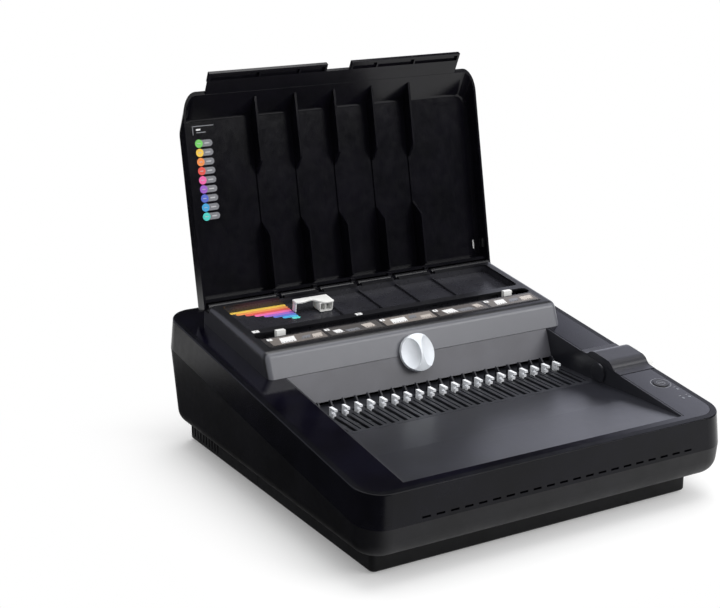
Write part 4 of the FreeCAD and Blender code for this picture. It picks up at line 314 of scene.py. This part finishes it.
# screen inks: flat tones with a faint mesh in them
white_ink = printed_ink("screen_ink_white", "#e6e6e6", "#bdbdbd")
grey_ink = printed_ink("screen_ink_grey", "#77787d", "#626368")
pale_ink = printed_ink("screen_ink_pale", "#b9babd", "#9a9b9f")
warm_ink = printed_ink("screen_ink_warm_grey", "#b9b1aa", "#a0978f")
dark_ink = printed_ink("screen_ink_charcoal", "#1d1d20", "#2b2b2e")

FINISHES = {
    casing_abs: ["upper_casing"],
    lower_abs: ["lower_casing"],
    deck_abs: ["top_frame"],
    cover_abs: ["lever_cover"],
    base_abs: ["base_pan", "base_plug", "chip_drawer"],
    tray_abs: ["work_tray", "lever_boss"],
    comb_pom: ["comb_plate"],
    fascia_abs: ["lower_fascia"],
    block_abs: ["block_cover"],
    lid_ps: ["lid_shell", "lid_dividers"],
    storage_ps: ["storage_tray"],
    knob_paint: ["adjuster_knob"],
    white_pom: ["thickness_gauge", "left_edge_guide", "right_edge_guide"],
    lever_abs: ["comb_lever", "lever_grip"],
    gear_nylon: ["guide_pinion", "right_guide_rack", "left_guide_rack", "guide_bar", "lever_sector",
                 "hook_rack", "drive_gear"],
    button_abs: ["punch_button"],
    lens_pc: ["indicator_lenses"],
    foot_rubber: ["rubber_feet"],
    inlet_pbt: ["power_inlet", "switch_housing", "power_switch"],
    strip_laminate: ["guide_strip"],
    hook_nickel: ["comb_hooks"],
    plate_steel: ["left_side_plate", "right_side_plate", "front_die_plate", "rear_guide_plate",
                  "depth_stop", "plate_screws", "pressure_bar", "cam_yokes", "motor_bracket",
                  "hook_carriage", "rail_posts"],
    ground_steel: ["hinge_pin", "knob_shaft", "lever_shaft", "carriage_rods", "punch_pins",
                   "bar_guide_pins", "eccentric_shaft", "motor_pinion"],
    motor_can: ["motor"],
    bush_bronze: ["lever_bush", "shaft_bushes"],
    board_fr4: ["control_board", "power_board"],
}
for material, names in FINISHES.items():
    for name in names:
        for slot in nodes[name].material_slots:
            slot.material = material


# Modelling by hand

# axes by number, and the least part of a normal that counts as along an axis
ALONG_Y, ALONG_Z, SQUARE_ON = 1, 2, 0.9


def clear_selection():
    if bpy.context.mode != "OBJECT":
        bpy.ops.object.mode_set(mode="OBJECT")
    bpy.ops.object.select_all(action="DESELECT")


def take(piece):
    """Select one piece alone and make it active."""
    clear_selection()
    piece.select_set(True)
    bpy.context.view_layer.objects.active = piece


def settle():
    """Put the active piece's place, turn and scale into its mesh."""
    bpy.ops.object.transform_apply(location=True, rotation=True, scale=True)


def edit(piece):
    """Go into edit mode with all of a piece selected."""
    take(piece)
    bpy.ops.object.mode_set(mode="EDIT")
    bpy.ops.mesh.select_all(action="SELECT")


def leave():
    bpy.ops.object.mode_set(mode="OBJECT")
    settle()


def pick_faces(piece, wanted):
    """In edit mode, select the faces whose normal is wanted."""
    mesh = bmesh.from_edit_mesh(piece.data)
    for part in list(mesh.verts) + list(mesh.edges) + list(mesh.faces):
        part.select = False
    for face in mesh.faces:
        if wanted(face.normal):
            face.select_set(True)
    mesh.select_flush_mode()
    bmesh.update_edit_mesh(piece.data)


def pick_edges(piece, axis, least):
    """In edit mode, select the edges that run further than least mm along an axis."""
    mesh = bmesh.from_edit_mesh(piece.data)
    for edge in mesh.edges:
        run = edge.verts[0].co - edge.verts[1].co
        edge.select_set(abs(run[axis]) > least * MM)
    mesh.select_flush_mode()
    bmesh.update_edit_mesh(piece.data)


def apply_modifier(piece, kind, **settings):
    take(piece)
    modifier = piece.modifiers.new(kind.lower(), kind)
    for field, value in settings.items():
        setattr(modifier, field, value)
    bpy.ops.object.modifier_apply(modifier=modifier.name)


def soften(piece, width, segments=3, angle=35):
    """Round the edges that are sharper than an angle."""
    apply_modifier(piece, "BEVEL", width=width * MM, segments=segments, limit_method="ANGLE",
                   angle_limit=math.radians(angle), use_clamp_overlap=True)


def block(size, spot):
    """Cube primitive of a size with its centre at a spot, both in mm."""
    clear_selection()
    bpy.ops.mesh.primitive_cube_add(size=1, location=Vector(spot) * MM)
    piece = bpy.context.object
    piece.scale = Vector(size) * MM
    settle()
    return piece


def disc(radius, height, spot, sides):
    """Cylinder primitive standing on a spot, in mm."""
    clear_selection()
    middle = Vector(spot) + Vector((0, 0, height / 2))
    bpy.ops.mesh.primitive_cylinder_add(
        vertices=sides, radius=radius * MM, depth=height * MM, location=middle * MM)
    piece = bpy.context.object
    settle()
    return piece


def joined(pieces):
    clear_selection()
    for piece in pieces:
        piece.select_set(True)
    bpy.context.view_layer.objects.active = pieces[0]
    bpy.ops.object.join()
    return bpy.context.object


SMOOTH_UNDER = 32


def inked(piece, ink):
    """Give a piece one material alone."""
    piece.data.materials.clear()
    piece.data.materials.append(ink)
    return piece


def finish(piece, name, material, plane, body, replaced=()):
    """Name a piece, lay it on its plane and hang it on its body; a print keeps its own inks."""
    take(piece)
    piece.name = name
    piece.data.name = name
    piece.data.transform(plane)
    if material:
        inked(piece, material)
    bpy.ops.object.shade_smooth_by_angle(angle=math.radians(SMOOTH_UNDER))
    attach(piece, body)
    if replaced:
        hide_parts(*replaced)


# Prints: thin solids that are joined into one piece for each printed place

DOT_SIDES, RING_SIDES, CORNER_SEGMENTS, DIGIT_STEPS = 32, 48, 6, 3


def ink_dot(radius, spot, level, ink):
    return inked(disc(radius, INK, (spot[0], spot[1], level), DOT_SIDES), ink)


def ink_bar(size, spot, level, ink, corner=0.0):
    """Flat printed bar, with rounded corners where a corner radius is given."""
    piece = block((size[0], size[1], INK), (0, 0, level + INK / 2))
    if corner:
        edit(piece)
        bpy.ops.mesh.select_mode(type="EDGE")
        pick_edges(piece, ALONG_Z, 0.5 * INK)
        bpy.ops.mesh.bevel(offset=corner * MM, segments=CORNER_SEGMENTS, affect="EDGES")
        bpy.ops.mesh.select_mode(type="VERT")
        leave()
    piece.data.transform(Matrix.Translation(Vector((spot[0], spot[1], 0)) * MM))
    return inked(piece, ink)


def ink_quad(corners, level, ink):
    """Flat printed patch with four given corners, counter-clockwise."""
    piece = block((1, 1, INK), (0, 0, level + INK / 2))
    signs = [(-1, -1), (1, -1), (1, 1), (-1, 1)]
    for vert in piece.data.vertices:
        side = (round(math.copysign(1, vert.co.x)), round(math.copysign(1, vert.co.y)))
        x, y = corners[signs.index(side)]
        vert.co.x = x * MM
        vert.co.y = y * MM
    return inked(piece, ink)


def ink_ring(radius, width, spot, level, ink):
    """Printed ring: a flat disc with its middle inset and removed, then thickened."""
    clear_selection()
    bpy.ops.mesh.primitive_circle_add(
        vertices=RING_SIDES, radius=radius * MM, fill_type="NGON",
        location=Vector((spot[0], spot[1], level)) * MM)
    piece = bpy.context.object
    edit(piece)
    bpy.ops.mesh.inset(thickness=width * MM)
    bpy.ops.mesh.delete(type="FACE")
    leave()
    apply_modifier(piece, "SOLIDIFY", thickness=INK * MM, offset=1.0)
    return inked(piece, ink)


def ink_digit(numeral, height, spot, level, ink):
    """Plain numeral, made a solid mesh."""
    clear_selection()
    bpy.ops.object.text_add()
    text = bpy.context.object
    text.data.body = numeral
    text.data.size = height * MM
    text.data.align_x = "CENTER"
    text.data.align_y = "CENTER"
    text.data.extrude = INK / 2 * MM
    text.data.resolution_u = DIGIT_STEPS
    bpy.ops.object.convert(target="MESH")
    piece = bpy.context.object
    piece.data.transform(Matrix.Translation(Vector((spot[0], spot[1], level + INK / 2)) * MM))
    return inked(piece, ink)


# Adjuster knob: a domed disc with two scoops that leave an arched fin between them

KNOB_RADIUS, KNOB_GAP, KNOB_RIM, KNOB_CREST, KNOB_SIDES = 19.5, 1.5, 8.2, 14.0, 96
DOME_RINGS = (18.6, 16.5, 13.5, 10.0, 6.5, 3.0)
SCOOP_RADII, SCOOP_AWAY, SCOOP_HEIGHT = (14.5, 22.0, 8.2), 15.6, 13.2
SCOOP_SEGMENTS, SCOOP_RINGS = 64, 32
KNOB_EDGE, KNOB_SHARP, KNOB_WELD = 0.7, 28, 0.01


def dome_lift(radius):
    """Height of the dome over the rim at a radius."""
    return (KNOB_CREST - KNOB_RIM) * (1 - (radius / KNOB_RADIUS) ** 2)


def build_knob():
    knob = disc(KNOB_RADIUS, KNOB_RIM - KNOB_GAP, (0, 0, KNOB_GAP), KNOB_SIDES)
    edit(knob)
    pick_faces(knob, lambda normal: normal.z > SQUARE_ON)
    radius = KNOB_RADIUS
    for ring in DOME_RINGS:
        bpy.ops.mesh.inset(thickness=(radius - ring) * MM)
        bpy.ops.transform.translate(value=(0, 0, (dome_lift(ring) - dome_lift(radius)) * MM))
        radius = ring
    leave()
    for side in (-1, 1):
        clear_selection()
        bpy.ops.mesh.primitive_uv_sphere_add(
            segments=SCOOP_SEGMENTS, ring_count=SCOOP_RINGS, radius=MM)
        scoop = bpy.context.object
        scoop.scale = SCOOP_RADII
        scoop.location = Vector((side * SCOOP_AWAY, 0, SCOOP_HEIGHT)) * MM
        settle()
        apply_modifier(knob, "BOOLEAN", object=scoop, operation="DIFFERENCE", solver="EXACT")
        bpy.data.objects.remove(scoop)
    soften(knob, KNOB_EDGE, angle=KNOB_SHARP)
    edit(knob)
    bpy.ops.mesh.remove_doubles(threshold=KNOB_WELD * MM)
    bpy.ops.mesh.dissolve_degenerate(threshold=KNOB_WELD * MM)
    leave()
    finish(knob, "knob_scooped", knob_paint, KNOB, "knob", ["adjuster_knob"])


build_knob()


# Lid: the printed comb chart, a column of coloured dots with grey pills under a heading

CHART_COLOURS = {
    "leaf": ("#6fcf5a", "#5bb549"), "yellow": ("#f3c53c", "#dcae2c"),
    "orange": ("#f08a3a", "#d97829"), "red": ("#e2483a", "#c83a2e"),
    "pink": ("#ef5da5", "#d74a90"), "purple": ("#9a55c4", "#8546ad"),
    "blue": ("#4b62c9", "#3d52b1"), "sky": ("#2ba0d8", "#228bbe"),
    "teal": ("#3fcfc4", "#33b5ab"),
}
chart_inks = {word: printed_ink("screen_ink_" + word, *pair) for word, pair in CHART_COLOURS.items()}
CHART_TOP, CHART_PITCH, CHART_COLUMN = 170.2, 9.55, -158.9
PILL, PILL_CORNER, PILL_AWAY, CHART_DOT = (17.0, 7.0), 3.4, 7.0, 4.3
PILL_LINE, PILL_LINE_AWAY, DOT_LINE = (5.6, 1.3), 9.2, (3.6, 0.7)
# size, place and ink of the heading's frame and lines, and of the mark at the lid's lower right
LID_LINES = (
    ((24.8, 0.9), (-152.6, 188.2), grey_ink),
    ((0.9, 9.0), (-164.2, 183.8), grey_ink),
    ((5.0, 1.8), (-158.0, 184.6), white_ink),
    ((10.5, 1.0), (-155.0, 181.6), grey_ink),
    ((1.6, 10.0), (172.0, 22.5), white_ink),
)


def build_lid_chart():
    over_pill, over_dot = LID_PANEL + INK, LID_PANEL + 2 * INK
    marks = []
    for row, ink in enumerate(chart_inks.values()):
        y = CHART_TOP - CHART_PITCH * row
        marks.append(ink_bar(PILL, (CHART_COLUMN + PILL_AWAY, y), LID_PANEL, grey_ink, PILL_CORNER))
        marks.append(ink_dot(CHART_DOT, (CHART_COLUMN, y), over_pill, ink))
        marks.append(ink_bar(PILL_LINE, (CHART_COLUMN + PILL_LINE_AWAY, y), over_pill, pale_ink))
        marks.append(ink_bar(DOT_LINE, (CHART_COLUMN, y), over_dot, pale_ink))
    for size, spot, ink in LID_LINES:
        marks.append(ink_bar(size, spot, LID_PANEL, ink))
    finish(joined(marks), "lid_comb_chart", None, LID, "lid")


build_lid_chart()


# Colour scale: stepped bars on the storage floor, each with rounded ends

SCALE_RIGHT, SCALE_FIRST, SCALE_STEP, SCALE_BACK = -92.0, -161.0, 8.5, 363.6
SCALE_ROW, SCALE_GAP, SCALE_CORNER = 4.7, 0.1, 2.2
WHITE_SHARE = 0.15


def paler(colour):
    """The same hue let down with white."""
    parts = [round(part + (255 - part) * WHITE_SHARE) for part in hex_parts(colour)]
    return "#" + "".join(f"{part:02x}" for part in parts)


def build_colour_scale():
    bars = []
    for row, (word, pair) in enumerate(list(CHART_COLOURS.items())[1:]):
        ink = printed_ink("pastel_ink_" + word, paler(pair[0]), paler(pair[1]))
        left = SCALE_FIRST + SCALE_STEP * row
        size = (SCALE_RIGHT - left, SCALE_ROW - SCALE_GAP)
        spot = ((left + SCALE_RIGHT) / 2, SCALE_BACK - SCALE_ROW * row)
        bars.append(ink_bar(size, spot, STORAGE_FLOOR, ink, SCALE_CORNER))
    finish(joined(bars), "colour_scale", None, DECK, "machine")


build_colour_scale()


# Thickness gauge: a bridge with a wavy front edge, on a thin leg and a looped foot

GAUGE_LEFT, GAUGE_RIGHT, GAUGE_BACK, GAUGE_TOP, GAUGE_FOOT = -92.5, -51.5, 349.0, 26.5, 14.4
BRIDGE_WALL, BRIDGE_COLUMNS = 2.2, 28
# depth of the bridge over the leg, how far it widens over the loop, and where that starts
BRIDGE_DEPTH, BRIDGE_MORE, WIDEN_START, WIDEN_RUN = 8.0, 9.5, 0.45, 0.25
WAVE_HEIGHT, WAVE_TURN = 1.2, 9.5
LEG_SIZE, LEG_SPOT = (1.5, 7.0), (GAUGE_LEFT + 1.2, 345.0)
LOOP_SIZE, LOOP_SPOT = (16.0, 15.0), (GAUGE_RIGHT - 8.4, 340.0)
LOOP_CORNER, LOOP_SEGMENTS, LOOP_WALL = 2.6, 5, 1.3
POST_SIZE = (1.3, 13.0)
LEG_TOP, LOOP_TOP = GAUGE_TOP - 2.0, GAUGE_TOP - 1.2
# radii of the rounded edges
BRIDGE_EDGE, LEG_EDGE, LOOP_EDGE, POST_EDGE = 0.6, 0.4, 0.3, 0.35


def gauge_upright(size, spot, top):
    """Block from the gauge's foot up to a height."""
    return block((size[0], size[1], top - GAUGE_FOOT), (spot[0], spot[1], (top + GAUGE_FOOT) / 2))


def build_gauge():
    clear_selection()
    bpy.ops.mesh.primitive_grid_add(x_subdivisions=BRIDGE_COLUMNS, y_subdivisions=2, size=1)
    bridge = bpy.context.object
    for vert in bridge.data.vertices:
        share, back = vert.co.x + 0.5, vert.co.y + 0.5
        step = min(max((share - WIDEN_START) / WIDEN_RUN, 0), 1)
        wave = WAVE_HEIGHT * math.sin(WAVE_TURN * share)
        depth = BRIDGE_DEPTH + wave + BRIDGE_MORE * step * step * (3 - 2 * step)
        vert.co = Vector((GAUGE_LEFT + (GAUGE_RIGHT - GAUGE_LEFT) * share,
                          GAUGE_BACK - depth * (1 - back), GAUGE_TOP - BRIDGE_WALL / 2)) * MM
    apply_modifier(bridge, "SOLIDIFY", thickness=BRIDGE_WALL * MM, offset=0.0)
    soften(bridge, BRIDGE_EDGE)
    leg = gauge_upright(LEG_SIZE, LEG_SPOT, LEG_TOP)
    soften(leg, LEG_EDGE, segments=2)
    loop = gauge_upright(LOOP_SIZE, LOOP_SPOT, LOOP_TOP)
    edit(loop)
    bpy.ops.mesh.select_mode(type="FACE")
    pick_faces(loop, lambda normal: abs(normal.y) > SQUARE_ON)
    bpy.ops.mesh.delete(type="ONLY_FACE")
    bpy.ops.mesh.select_mode(type="EDGE")
    pick_edges(loop, ALONG_Y, LOOP_SIZE[1] / 2)
    bpy.ops.mesh.bevel(offset=LOOP_CORNER * MM, segments=LOOP_SEGMENTS, affect="EDGES")
    bpy.ops.mesh.select_mode(type="VERT")
    leave()
    apply_modifier(loop, "SOLIDIFY", thickness=LOOP_WALL * MM, offset=-1.0)
    soften(loop, LOOP_EDGE, segments=2)
    post = gauge_upright(POST_SIZE, LOOP_SPOT, LEG_TOP)
    soften(post, POST_EDGE, segments=2)
    finish(joined([bridge, leg, loop, post]), "gauge_bridge", white_pom, DECK, "gauge",
           ["thickness_gauge"])


build_gauge()


# Instruction strip: grey panels with plain pictures of sheets, and a numbered tag for each step

PANEL_LEFT, PANEL_FRONT, PANEL_SIZE, PANEL_GAP, PANEL_CORNER = -160.5, 259.3, (61.5, 16.6), 4.0, 0.8
TAG_SIZE, TAG_SPOT, TAG_CORNER, TAG_DIGIT = (5.6, 4.6), (2.0, 5.4), 0.6, 4.2
HOLE_SIZE, HOLE_PITCH, HOLE_SPOT = (1.5, 0.8), 3, (1.8, 1.6)
SHEET_SKEW = 0.8
# each step's two tones, how far its sheets lean, and each sheet's start, width, foot and height
STRIP_STEPS = (
    (("#6e6864", "#575250"), 4.0, ((10, 17, -6.4, 12), (33, 10, -4.5, 7), (46, 11, -6, 9))),
    (("#4f4c4b", "#403d3d"), -3.0, ((8, 9, -5.5, 8), (22, 15, -6.6, 6), (43, 12, -5, 10))),
    (("#7d7671", "#66605c"), 2.0, ((9, 18, -6.6, 11), (31, 9, -3, 8), (44, 13, -6.6, 8))),
    (("#5b5654", "#494544"), -4.5, ((11, 14, -6, 10), (29, 17, -6.6, 7), (50, 8, -4, 9))),
    (("#6a6562", "#55504e"), 3.0, ((9, 13, -6.2, 11), (26, 12, -5, 8), (42, 15, -6, 10))),
)
SHEET_INKS = (white_ink, grey_ink, warm_ink)
SHEET_LEANS = (0.6, 1, 0.6)


def build_strip_print():
    over_panel, over_sheet = STRIP_TOP + INK, STRIP_TOP + 2 * INK
    middle = PANEL_FRONT + PANEL_SIZE[1] / 2
    marks = []
    for n, (tones, skew, sheets) in enumerate(STRIP_STEPS):
        left = PANEL_LEFT + (PANEL_SIZE[0] + PANEL_GAP) * n
        panel_ink = printed_ink("strip_panel_" + str(n), *tones)
        panel_spot = (left + PANEL_SIZE[0] / 2, middle)
        tag_spot = (left + TAG_SPOT[0], middle + TAG_SPOT[1])
        marks.append(ink_bar(PANEL_SIZE, panel_spot, STRIP_TOP, panel_ink, PANEL_CORNER))
        marks.append(ink_bar(TAG_SIZE, tag_spot, over_panel, white_ink, TAG_CORNER))
        marks.append(ink_digit(str(n + 1), TAG_DIGIT, tag_spot, over_sheet, dark_ink))
        for (start, wide, low, tall), ink, share in zip(sheets, SHEET_INKS, SHEET_LEANS):
            x, y = left + start, middle + low
            lean = skew * share
            corners = [(x, y), (x + wide, y + SHEET_SKEW),
                       (x + wide + lean, y + tall), (x + lean, y + tall - SHEET_SKEW)]
            marks.append(ink_quad(corners, over_panel, ink))
            for hole in range(int(wide // HOLE_PITCH)):
                hole_spot = (x + HOLE_SPOT[0] + HOLE_PITCH * hole, y + HOLE_SPOT[1])
                marks.append(ink_bar(HOLE_SIZE, hole_spot, over_sheet, dark_ink))
    finish(joined(marks), "strip_pictures", None, DECK, "machine")


build_strip_print()


# Storage recess: a numbered tag in front of each of two bays

BAY_TAG_SIZE, BAY_TAG_Y, BAY_TAG_XS = (7.4, 5.0), 297.0, (-161.5, -41.4)


def build_step_tags():
    tags = []
    for n, x in enumerate(BAY_TAG_XS):
        spot = (x, BAY_TAG_Y)
        tags.append(ink_bar(BAY_TAG_SIZE, spot, BLOCK_TOP, white_ink, TAG_CORNER))
        tags.append(ink_digit(str(n + 1), TAG_DIGIT, spot, BLOCK_TOP + INK, dark_ink))
    finish(joined(tags), "step_tags", None, DECK, "machine")


build_step_tags()


# Deck controls: a ring round the button, marks beside the lamps, and a punching sign on the button

BUTTON_SPOT, DECK_RING, SIGN_RING = (186.3, 78.4), (10.6, 0.7), (4.6, 0.6)
LAMP_MARK, LAMP_SPOTS = (3.4, 0.8), ((186.0, 48.6), (194.0, 48.6), (194.0, 66.6))
SIGN_HOLE, SIGN_PITCH, SIGN_CORNER = (1.3, 2.6), 2.2, 0.3


def build_control_marks():
    marks = [ink_ring(*DECK_RING, BUTTON_SPOT, DECK_TOP, grey_ink)]
    for spot in LAMP_SPOTS:
        marks.append(ink_bar(LAMP_MARK, spot, DECK_TOP, grey_ink))
    finish(joined(marks), "control_marks", None, DECK, "machine")


def build_button_sign():
    marks = [ink_ring(*SIGN_RING, BUTTON_SPOT, BUTTON_TOP, grey_ink)]
    for n in (-1, 0, 1):
        spot = (BUTTON_SPOT[0] + SIGN_PITCH * n, BUTTON_SPOT[1])
        marks.append(ink_bar(SIGN_HOLE, spot, BUTTON_TOP, grey_ink, SIGN_CORNER))
    finish(joined(marks), "button_sign", None, DECK, "button")


build_control_marks()
build_button_sign()


# Stage: pale floor, soft lamps and the camera

FLOOR_SIZE = 40
# half the base's width and depth, and where the floor starts and ends its turn to white, in those
BASE_HALF_WIDTH, BASE_HALF_DEPTH, WHITE_START, WHITE_FULL = 0.184, 0.192, 0.6, 1.9
# X where the painted shade, which only reflections see, starts and is full, and Y of the ends of the
# white band across it
SHADE_IN_MIRROR_START, SHADE_IN_MIRROR_FULL = -0.16, -0.23
CARD_FRONT_DARK, CARD_FRONT_WHITE, CARD_BACK_WHITE, CARD_BACK_DARK = 0.38, 0.54, 0.62, 0.8


def build_stage():
    clear_selection()
    bpy.ops.mesh.primitive_plane_add(size=FLOOR_SIZE, location=(0, 0, 0))
    floor = bpy.context.object
    floor.name = "floor"
    material, tree = blank_material("white_sweep")
    place = add(tree, "ShaderNodeTexCoord").outputs["Object"]
    rays = add(tree, "ShaderNodeLightPath")
    # the sweep turns to plain white away from the machine, as it does under a studio's back lamps
    scaled = add(tree, "ShaderNodeVectorMath",
                 {0: place, 1: (1 / BASE_HALF_WIDTH, 1 / BASE_HALF_DEPTH, 0.0)}, operation="MULTIPLY")
    spread = add(tree, "ShaderNodeVectorMath", {0: scaled.outputs["Vector"]}, operation="ABSOLUTE")
    sides = add(tree, "ShaderNodeSeparateXYZ", {"Vector": spread.outputs["Vector"]})
    reach = add(tree, "ShaderNodeMath", {0: sides.outputs["X"], 1: sides.outputs["Y"]},
                operation="MAXIMUM")
    far = add(tree, "ShaderNodeMapRange",
              {"Value": reach.outputs["Value"], "From Min": WHITE_START, "From Max": WHITE_FULL},
              interpolation_type="SMOOTHERSTEP")
    share = add(tree, "ShaderNodeMath",
                {0: far.outputs["Result"], 1: rays.outputs["Is Camera Ray"]}, operation="MULTIPLY")
    # painted shade to the left, seen only in reflections: the floor's colour turns dark there for glossy
    # rays, standing in for the machine's shadow, and the casing's left side mirrors it
    across = add(tree, "ShaderNodeSeparateXYZ", {"Vector": place})
    left = add(tree, "ShaderNodeMapRange",
               {"Value": across.outputs["X"], "From Min": SHADE_IN_MIRROR_START, "From Max": SHADE_IN_MIRROR_FULL},
               interpolation_type="SMOOTHSTEP")
    # and a band across it where the floor stays white, which the casing's left side mirrors near its
    # back
    card_front = add(tree, "ShaderNodeMapRange",
                     {"Value": across.outputs["Y"], "From Min": CARD_FRONT_WHITE,
                      "From Max": CARD_FRONT_DARK}, interpolation_type="SMOOTHSTEP")
    card_back = add(tree, "ShaderNodeMapRange",
                    {"Value": across.outputs["Y"], "From Min": CARD_BACK_WHITE,
                     "From Max": CARD_BACK_DARK}, interpolation_type="SMOOTHSTEP")
    beside_card = add(tree, "ShaderNodeMath",
                      {0: card_front.outputs["Result"], 1: card_back.outputs["Result"]},
                      operation="MAXIMUM")
    dark = add(tree, "ShaderNodeMath",
               {0: left.outputs["Result"], 1: beside_card.outputs["Value"]}, operation="MULTIPLY")
    # painted shade: the floor's colour is made dark for glossy rays only
    mirrored_shade = add(tree, "ShaderNodeMath",
                  {0: dark.outputs["Value"], 1: rays.outputs["Is Glossy Ray"]}, operation="MULTIPLY")
    tone = add(tree, "ShaderNodeMixRGB",
               {"Fac": mirrored_shade.outputs["Value"], "Color1": linear("#fafafa"),
                "Color2": linear("#202020")})
    matt = add(tree, "ShaderNodeBsdfDiffuse", {"Color": tone.outputs["Color"]})
    glow = add(tree, "ShaderNodeEmission", {"Color": linear("#ffffff"), "Strength": 1.0})
    mixed = add(tree, "ShaderNodeMixShader",
                {0: share.outputs["Value"], 1: matt.outputs[0], 2: glow.outputs[0]})
    close_material(tree, mixed)
    floor.data.materials.append(material)


def add_lamp(name, spot, target, size, strength):
    """Soft lamp of a size in metres, whose face has a given brightness."""
    lamp = bpy.data.lights.new(name, "AREA")
    lamp.shape = "RECTANGLE"
    lamp.size, lamp.size_y = size
    lamp.energy = strength * math.pi * size[0] * size[1]
    holder = bpy.data.objects.new(name, lamp)
    bpy.context.scene.collection.objects.link(holder)
    holder.location = spot
    holder.rotation_euler = (Vector(target) - Vector(spot)).to_track_quat("-Z", "Y").to_euler()


# how bright the room is as a lamp, how dark and how white the parts are that gloss mirrors,
# and the share of them that is left in front
ROOM_LIGHT, MIRRORED_DARK, MIRRORED_WHITE, MIRRORED_FRONT = 0.7, 0.03, 1.6, 0.02
# the way that the sweep lies, and how far along it the sweep's edge starts and is full
SWEEP_HEADING, SWEEP_START, SWEEP_FULL = (1.0, 0.0, -0.6), 0.26, 0.364
# where the board starts and is full in X, and where the dark front ends and the back is full in Y
BOARD_START, BOARD_FULL, FRONT_END, BACK_FULL = 0.26, 0.14, 0.05, 0.4


def build_lights():
    add_lamp("top_softbox", spot=(0.3, 0.1, 1.7), target=(0.05, 0.0, 0.1), size=(1.6, 1.4), strength=2.8)
    add_lamp("front_softbox", spot=(1.27, -1.79, 1.36), target=(0.0, 0.0, 0.12), size=(1.5, 0.9),
             strength=6.2)
    world = bpy.data.worlds.new("studio")
    bpy.context.scene.world = world
    world.use_nodes = True
    tree = world.node_tree
    tree.nodes.clear()
    rays = add(tree, "ShaderNodeLightPath")
    seen = add(tree, "ShaderNodeMath",
               {0: rays.outputs["Is Camera Ray"], 1: rays.outputs["Is Transmission Ray"]},
               operation="MAXIMUM")
    shown = add(tree, "ShaderNodeMath",
                {0: seen.outputs["Value"], 1: rays.outputs["Is Glossy Ray"]}, operation="MAXIMUM")
    # what is mirrored: the low sweep to the right is white, and the rest of the room is dark
    heading = add(tree, "ShaderNodeTexCoord").outputs["Generated"]
    facing = add(tree, "ShaderNodeVectorMath", {0: heading, 1: SWEEP_HEADING}, operation="DOT_PRODUCT")
    sweep = add(tree, "ShaderNodeMapRange",
                {"Value": facing.outputs["Value"], "From Min": SWEEP_START, "From Max": SWEEP_FULL,
                 "To Min": MIRRORED_DARK, "To Max": MIRRORED_WHITE}, interpolation_type="SMOOTHSTEP")
    # a white board behind on the left, which only rounded edges mirror
    split = add(tree, "ShaderNodeSeparateXYZ", {"Vector": heading})
    leftward = add(tree, "ShaderNodeMapRange",
                   {"Value": split.outputs["X"], "From Min": BOARD_START, "From Max": BOARD_FULL},
                   interpolation_type="SMOOTHSTEP")
    board = add(tree, "ShaderNodeMath",
                {0: sweep.outputs["Result"], 1: leftward.outputs["Result"]}, operation="MAXIMUM")
    # nothing white in front, where the lid looks
    behind = add(tree, "ShaderNodeMapRange",
                 {"Value": split.outputs["Y"], "From Min": FRONT_END, "From Max": BACK_FULL,
                  "To Min": MIRRORED_FRONT}, interpolation_type="SMOOTHSTEP")
    bright = add(tree, "ShaderNodeMath",
                 {0: board.outputs["Value"], 1: behind.outputs["Result"]}, operation="MULTIPLY")
    mirrored = add(tree, "ShaderNodeMix",
                   {"Factor": rays.outputs["Is Glossy Ray"], "A": 1.0, "B": bright.outputs["Value"]})
    level = add(tree, "ShaderNodeMix",
                {"Factor": shown.outputs["Value"], "A": ROOM_LIGHT, "B": mirrored.outputs["Result"]})
    tint = add(tree, "ShaderNodeMixRGB",
               {"Fac": rays.outputs["Is Glossy Ray"], "Color1": linear("#ffffff"),
                "Color2": linear("#e9ebfb")})
    sky = add(tree, "ShaderNodeBackground",
              {"Color": tint.outputs["Color"], "Strength": level.outputs["Result"]})
    add(tree, "ShaderNodeOutputWorld", {"Surface": sky.outputs[0]})
    bpy.context.scene.view_settings.view_transform = "Standard"


# The camera was fitted to the photograph: its focal length in pixels, its place and its angles
PHOTO_WIDTH, FOCAL_PIXELS, SENSOR_WIDTH, VIEW_END = 720, 1555.49, 36.0, 60
CAMERA_SPOT, CAMERA_DOWN, CAMERA_TURN = (-0.82913, -1.2629, 0.6248), 16.63, -30.62


def build_camera():
    eye = bpy.data.cameras.new("camera")
    eye.sensor_fit = "HORIZONTAL"
    eye.sensor_width = SENSOR_WIDTH
    eye.lens = FOCAL_PIXELS * SENSOR_WIDTH / PHOTO_WIDTH
    eye.clip_end = VIEW_END
    holder = bpy.data.objects.new("camera", eye)
    bpy.context.scene.collection.objects.link(holder)
    holder.location = CAMERA_SPOT
    holder.rotation_euler = (math.radians(90 - CAMERA_DOWN), 0, math.radians(CAMERA_TURN))
    bpy.context.scene.camera = holder


build_stage()
build_lights()
build_camera()
clear_selection()
